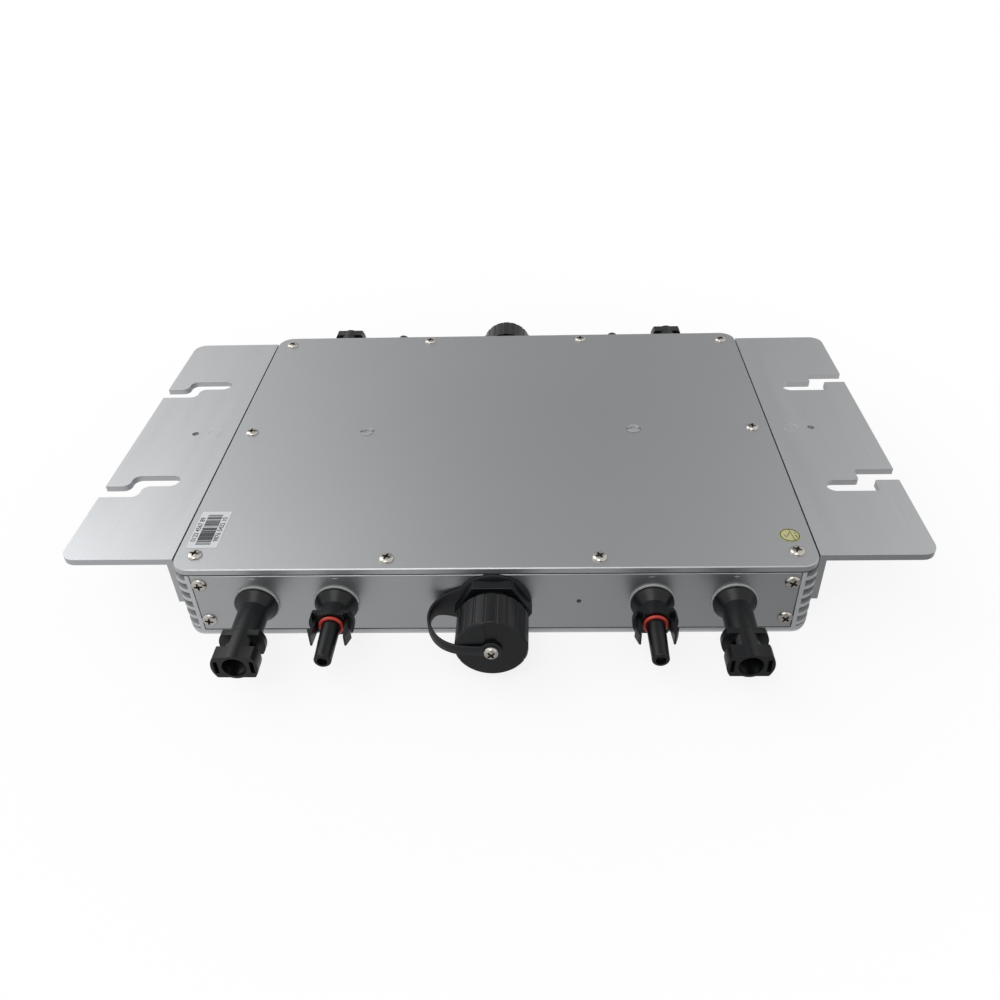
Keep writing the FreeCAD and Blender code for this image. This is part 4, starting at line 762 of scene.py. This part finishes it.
def figures(name, words, size, place, turn, finish):
    """A row of flat printed figures, centred on a place in millimetres."""
    text = bpy.data.curves.new(name, "FONT")
    text.body = words
    text.size = size * MM
    text.align_x = "CENTER"
    text.align_y = "CENTER"
    text.offset = 0.06 * MM  # a bolder stroke
    mesh = as_mesh(name, text, finish)
    mesh.transform(Matrix.Translation(Vector(place) * MM) @ Matrix.Rotation(turn, 4, "Z"))
    piece = in_scene(name, mesh)
    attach(piece, "inverter")


FIGURE_SIZE, FIGURE_INSET, INK_LIFT = 3.0, 1.8, 0.02
for name, words, x in (("left_figures", "0123 4567 89", low.x + FIGURE_INSET),
                       ("right_figures", "9876 5432 10", high.x - FIGURE_INSET)):
    figures(name, words, FIGURE_SIZE, (x, label_middle.y, high.z + INK_LIFT), math.pi / 2, ink)

# Fluorescent paper: yellow-green, matt and slightly fibrous.
paper = grained("yellow-green sticker paper", ("#B2AF78", "#C1BE88"), grain=(0.6,) * 3, detail=4.0,
                Roughness=0.55)
eased("inspection_sticker", paper, width=0.05)

# Olive offset ink on the sticker.
olive = grained("dark olive print", ("#2F321C", "#474A2C"), grain=(0.5,) * 3, detail=2.0, Roughness=0.55)
low, high = in_mm(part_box("inspection_sticker"))
centre = (low + high) / 2
RIM_RADIUS, RIM_LINE, PEN_LINE = 3.95, 0.45, 0.3
SEAL_FIGURE, SEAL_TURN = 2.0, 0.2
CHORD = [(0.2, 4.0), (1.6, -3.7)]
TICK = [(-2.4, 0.2), (-1.5, -1.2), (0.1, 1.6)]
traced("sticker_rim", [ring_line((centre.x, centre.y, high.z), RIM_RADIUS, 48)], RIM_LINE, olive)
marks = [[(centre.x + x, centre.y + y, high.z) for x, y in line] for line in (CHORD, TICK)]
traced("sticker_print", marks, PEN_LINE, olive)
for x, y, figure in ((2.4, 1.2, "1"), (2.6, -0.9, "2")):
    place = (centre.x + x, centre.y + y, high.z + INK_LIFT)
    figures(f"sticker_figure_{figure}", figure, SEAL_FIGURE, place, SEAL_TURN, olive)


# --- DC connectors ------------------------------------------------------------------------------
# Sockets and plugs are moulded in glass-filled black plastic. Each plug carries a red silicone
# ring and two barbed latch fingers, and tinned contacts run through both.

# Glass-filled nylon from a spark-eroded mould: near black, satin, with a fine even tooth 0.3 mm wide.
black = grained("glass-filled black nylon", ("#0A0B0D", "#111316"), grain=(0.3,) * 3, detail=3.0,
                blotch=((9.0,) * 3, 2.0), satin=(0.26, 0.40), span=(0.3, 0.7), relief=0.012,
                Specular_IOR_Level=0.3)
for end in ("front", "rear"):
    eased(f"{end}_dc_socket_shells", black, width=0.25)
    eased(f"{end}_dc_plug_shells", black, width=0.25)
    for side in ("left", "right"):
        for edge in ("left", "right"):
            eased(f"{end}_{side}_plug_{edge}_latch", black, width=0.15)
repaint(black, "dc_lock_nuts")

# Moulded silicone, pigmented red, with the slight bloom of oiled rubber.
red = grained("red silicone rubber", ("#A62E22", "#BD3C2E"), grain=(1.2,) * 3, detail=3.0, Roughness=0.36)
repaint(red, "plug_o_rings")

# Tinned copper alloy: dull silver with faint wiping lines along the contact. Its grey is kept darker than
# bare tin, a painted shade for the contacts deep in the plug tips.
tin_with_painted_shade = grained("tinned copper alloy darkened as painted shade", ("#8B8984", "#A5A39D"), grain=(0.3, 8.0, 0.3), detail=2.0,
              satin=(0.24, 0.40), Metallic=1.0)
# Painted shade: the darkened tin stands in for the shade at the plug tips.
repaint(tin_with_painted_shade, "dc_contacts", "ac_contact_pins")


# --- AC connectors ------------------------------------------------------------------------------
# A round receptacle with a coarse thread stands out of each end plate behind a hexagon nut. Its
# insert and the nut are moulded in the same black nylon.

BARREL, ROOT, MOUTH, BORE, MOUTH_EDGE = 12.4, 11.85, 11.8, 10.0, 0.6
SHOULDER_BACK, SHOULDER_FRONT = -6.8, -3.8
THREAD_PITCH, THREAD_START, THREAD_END = 2.5, 9.0, 20.4
ROWS_PER_TURN, FLANK = 8, 3.0  # the flank is how steeply the thread's sides rise


def threaded_receptacle(end, turn):
    """The receptacle in millimetres along Y, with a helical thread cut into its outer barrel."""
    low, high = in_mm(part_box(f"{end}_ac_receptacle"))
    middle_z = (low.z + high.z) / 2
    shoulder = (high.z - low.z) / 2
    face = abs(face_y)
    reach = max(abs(low.y), abs(high.y)) - face
    back = face - min(abs(low.y), abs(high.y))
    steps = 96
    stations = [(BORE, -back), (BARREL, -back), (BARREL, SHOULDER_BACK), (shoulder, SHOULDER_BACK),
                (shoulder, SHOULDER_FRONT), (BARREL, SHOULDER_FRONT), (BARREL, THREAD_START)]
    rows = round((THREAD_END - THREAD_START) / THREAD_PITCH * ROWS_PER_TURN)
    stations += [(None, THREAD_START + (THREAD_END - THREAD_START) * i / rows) for i in range(1, rows)]
    stations += [(BARREL, THREAD_END), (BARREL, reach - MOUTH_EDGE), (MOUTH, reach), (BORE, reach)]
    shell = bmesh.new()
    rings = []
    for radius, depth in stations:
        ring = []
        for i in range(steps):
            angle = math.tau * i / steps
            wall = radius
            if radius is None:
                phase = (depth / THREAD_PITCH - angle / math.tau) % 1.0
                wall = ROOT + (BARREL - ROOT) * min(1.0, abs(phase - 0.5) * FLANK)
            spot = Vector((wall * math.cos(angle), -depth, wall * math.sin(angle)))
            ring.append(shell.verts.new(spot * MM))
        rings.append(ring)
    skin(shell, [*rings, rings[0]])
    mesh = closed(f"{end}_threaded_receptacle", shell, black, crease=40)
    mesh.transform(Matrix.Rotation(turn, 4, "Z") @ Matrix.Translation(Vector((0, -face, middle_z)) * MM))
    settle(in_scene(mesh.name, mesh), f"{end}_ac_receptacle")


threaded_receptacle("front", 0.0)
threaded_receptacle("rear", math.pi)
eased("ac_flange_nuts", black, width=0.4)
repaint(black, "ac_inserts")


# --- Dust caps ----------------------------------------------------------------------------------
# Each black cap screws onto its receptacle. A nickel screw and washer hold the eye of a flexible
# strap to its front, and the strap's ring is clamped under the hexagon nut.

for end in ("front", "rear"):
    eased(f"{end}_ac_cap", black, width=0.3)

low, high = in_mm(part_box("front_cap_screw"))
axis_z = (low.z + high.z) / 2
CAP_HEAD_HEIGHT = 2.0
head_seat = -low.y - CAP_HEAD_HEIGHT
cap_screw = {"Head radius": 3.1, "Head height": CAP_HEAD_HEIGHT, "Shank length": 3.2, "Seed": 11}
for end, turn, side in (("front", TO_FRONT, -1), ("rear", TO_REAR, 1)):
    place = (0.0, side * head_seat, axis_z)
    settle(grown(f"{end}_cap_screw_head", heads, [place], [turn], steel, **cap_screw), f"{end}_cap_screw")
    eased(f"{end}_tether_washer", nickel, width=0.1)

# Thermoplastic elastomer, black: softer and duller than the cap, with a grain 0.5 mm wide.
rubbery = grained("black thermoplastic elastomer", ("#131417", "#1B1D20"), grain=(0.5,) * 3, detail=3.0,
                  relief=0.015, Roughness=0.5, Specular_IOR_Level=0.3)

STRAP_THICKNESS, STRAP_CORNER = 1.2, 0.35
STRAP_RING, STRAP_RING_BORE, STRAP_RING_THICKNESS = 15.9, 12.6, 1.5
STRAP_EYE, STRAP_EYE_BORE, EYE_NEAR = 4.4, 2.85, 27.15
# Places along the strap's middle line: across the plate, out from it, and the strap's width there.
STRAP_LINE = [
    (-13.2, 0.75, 17.6), (-18.5, 0.85, 13.4), (-22.3, 2.1, 9.6), (-25.4, 5.0, 6.8), (-26.8, 11.5, 5.2),
    (-24.4, 18.7, 5.0), (-20.7, 23.8, 5.0), (-14.7, 27.1, 5.0), (-9.0, 27.75, 5.0), (-3.6, 27.75, 5.0),
]


def flat_ring(shell, outer, bore, near, thickness, steps=64):
    """Add a flat ring about Y to a shell, from its near side's distance from the face."""
    far = near + thickness
    edge = min(0.3, thickness / 3)
    outline = [(bore, near), (outer - edge, near), (outer, near + edge), (outer, far - edge),
               (outer - edge, far), (bore, far)]
    angles = [math.tau * i / steps for i in range(steps)]
    rings = [[shell.verts.new((r * math.cos(a), -d, r * math.sin(a))) for a in angles] for r, d in outline]
    skin(shell, [*rings, rings[0]])


def tether(end, turn):
    """The strap with its ring and eye, bent as it hangs on the closed cap."""
    shell = bmesh.new()
    flat_ring(shell, STRAP_RING, STRAP_RING_BORE, 0.0, STRAP_RING_THICKNESS)
    flat_ring(shell, STRAP_EYE, STRAP_EYE_BORE, EYE_NEAR, STRAP_THICKNESS, steps=40)
    path = bpy.data.curves.new("strap_path", "CURVE")
    path.dimensions = "3D"
    spline = path.splines.new("NURBS")
    spline.points.add(len(STRAP_LINE) - 1)
    for point, (x, out, wide) in zip(spline.points, STRAP_LINE):
        point.co = (x, -out, wide, 1.0)
    spline.order_u = 4
    spline.use_endpoint_u = True
    spline.resolution_u = 8
    holder = bpy.data.objects.new("strap_path", path)
    line = [vertex.co.copy() for vertex in bpy.data.meshes.new_from_object(holder).vertices]
    bpy.data.objects.remove(holder)
    half, corner = STRAP_THICKNESS / 2, STRAP_CORNER
    rings = []
    for i, here in enumerate(line):
        ahead = line[min(i + 1, len(line) - 1)] - line[max(i - 1, 0)]
        across = Vector((-ahead.y, ahead.x, 0)).normalized()
        wide = here.z / 2
        section = [(-half, -wide + corner), (-half + corner, -wide), (half - corner, -wide),
                   (half, -wide + corner), (half, wide - corner), (half - corner, wide),
                   (-half + corner, wide), (-half, wide - corner)]
        middle = Vector((here.x, here.y, 0))
        rings.append([shell.verts.new(middle + across * a + Vector((0, 0, b))) for a, b in section])
    skin(shell, rings)
    shell.faces.new(rings[0])
    shell.faces.new(rings[-1])
    mesh = closed(f"{end}_strap", shell, rubbery, crease=50)
    mesh.transform(Matrix.Rotation(turn, 4, "Z") @ Matrix.Translation(Vector((0, face_y, axis_z)) * MM)
                   @ Matrix.Scale(MM, 4))
    piece = in_scene(mesh.name, mesh)
    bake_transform(piece)
    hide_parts(f"{end}_tether_strap")


tether("front", 0.0)
tether("rear", math.pi)


# --- Status lamp --------------------------------------------------------------------------------
# A small lamp, moulded in smoked resin, stands behind a hole in the front end plate. Its lens looks
# black until it lights.

tinted = grained("smoked lamp resin", ("#121416", "#202326"), grain=(0.7,) * 3, detail=2.0, Roughness=0.2,
                 Coat_Weight=0.5)
repaint(tinted, "status_lamp")
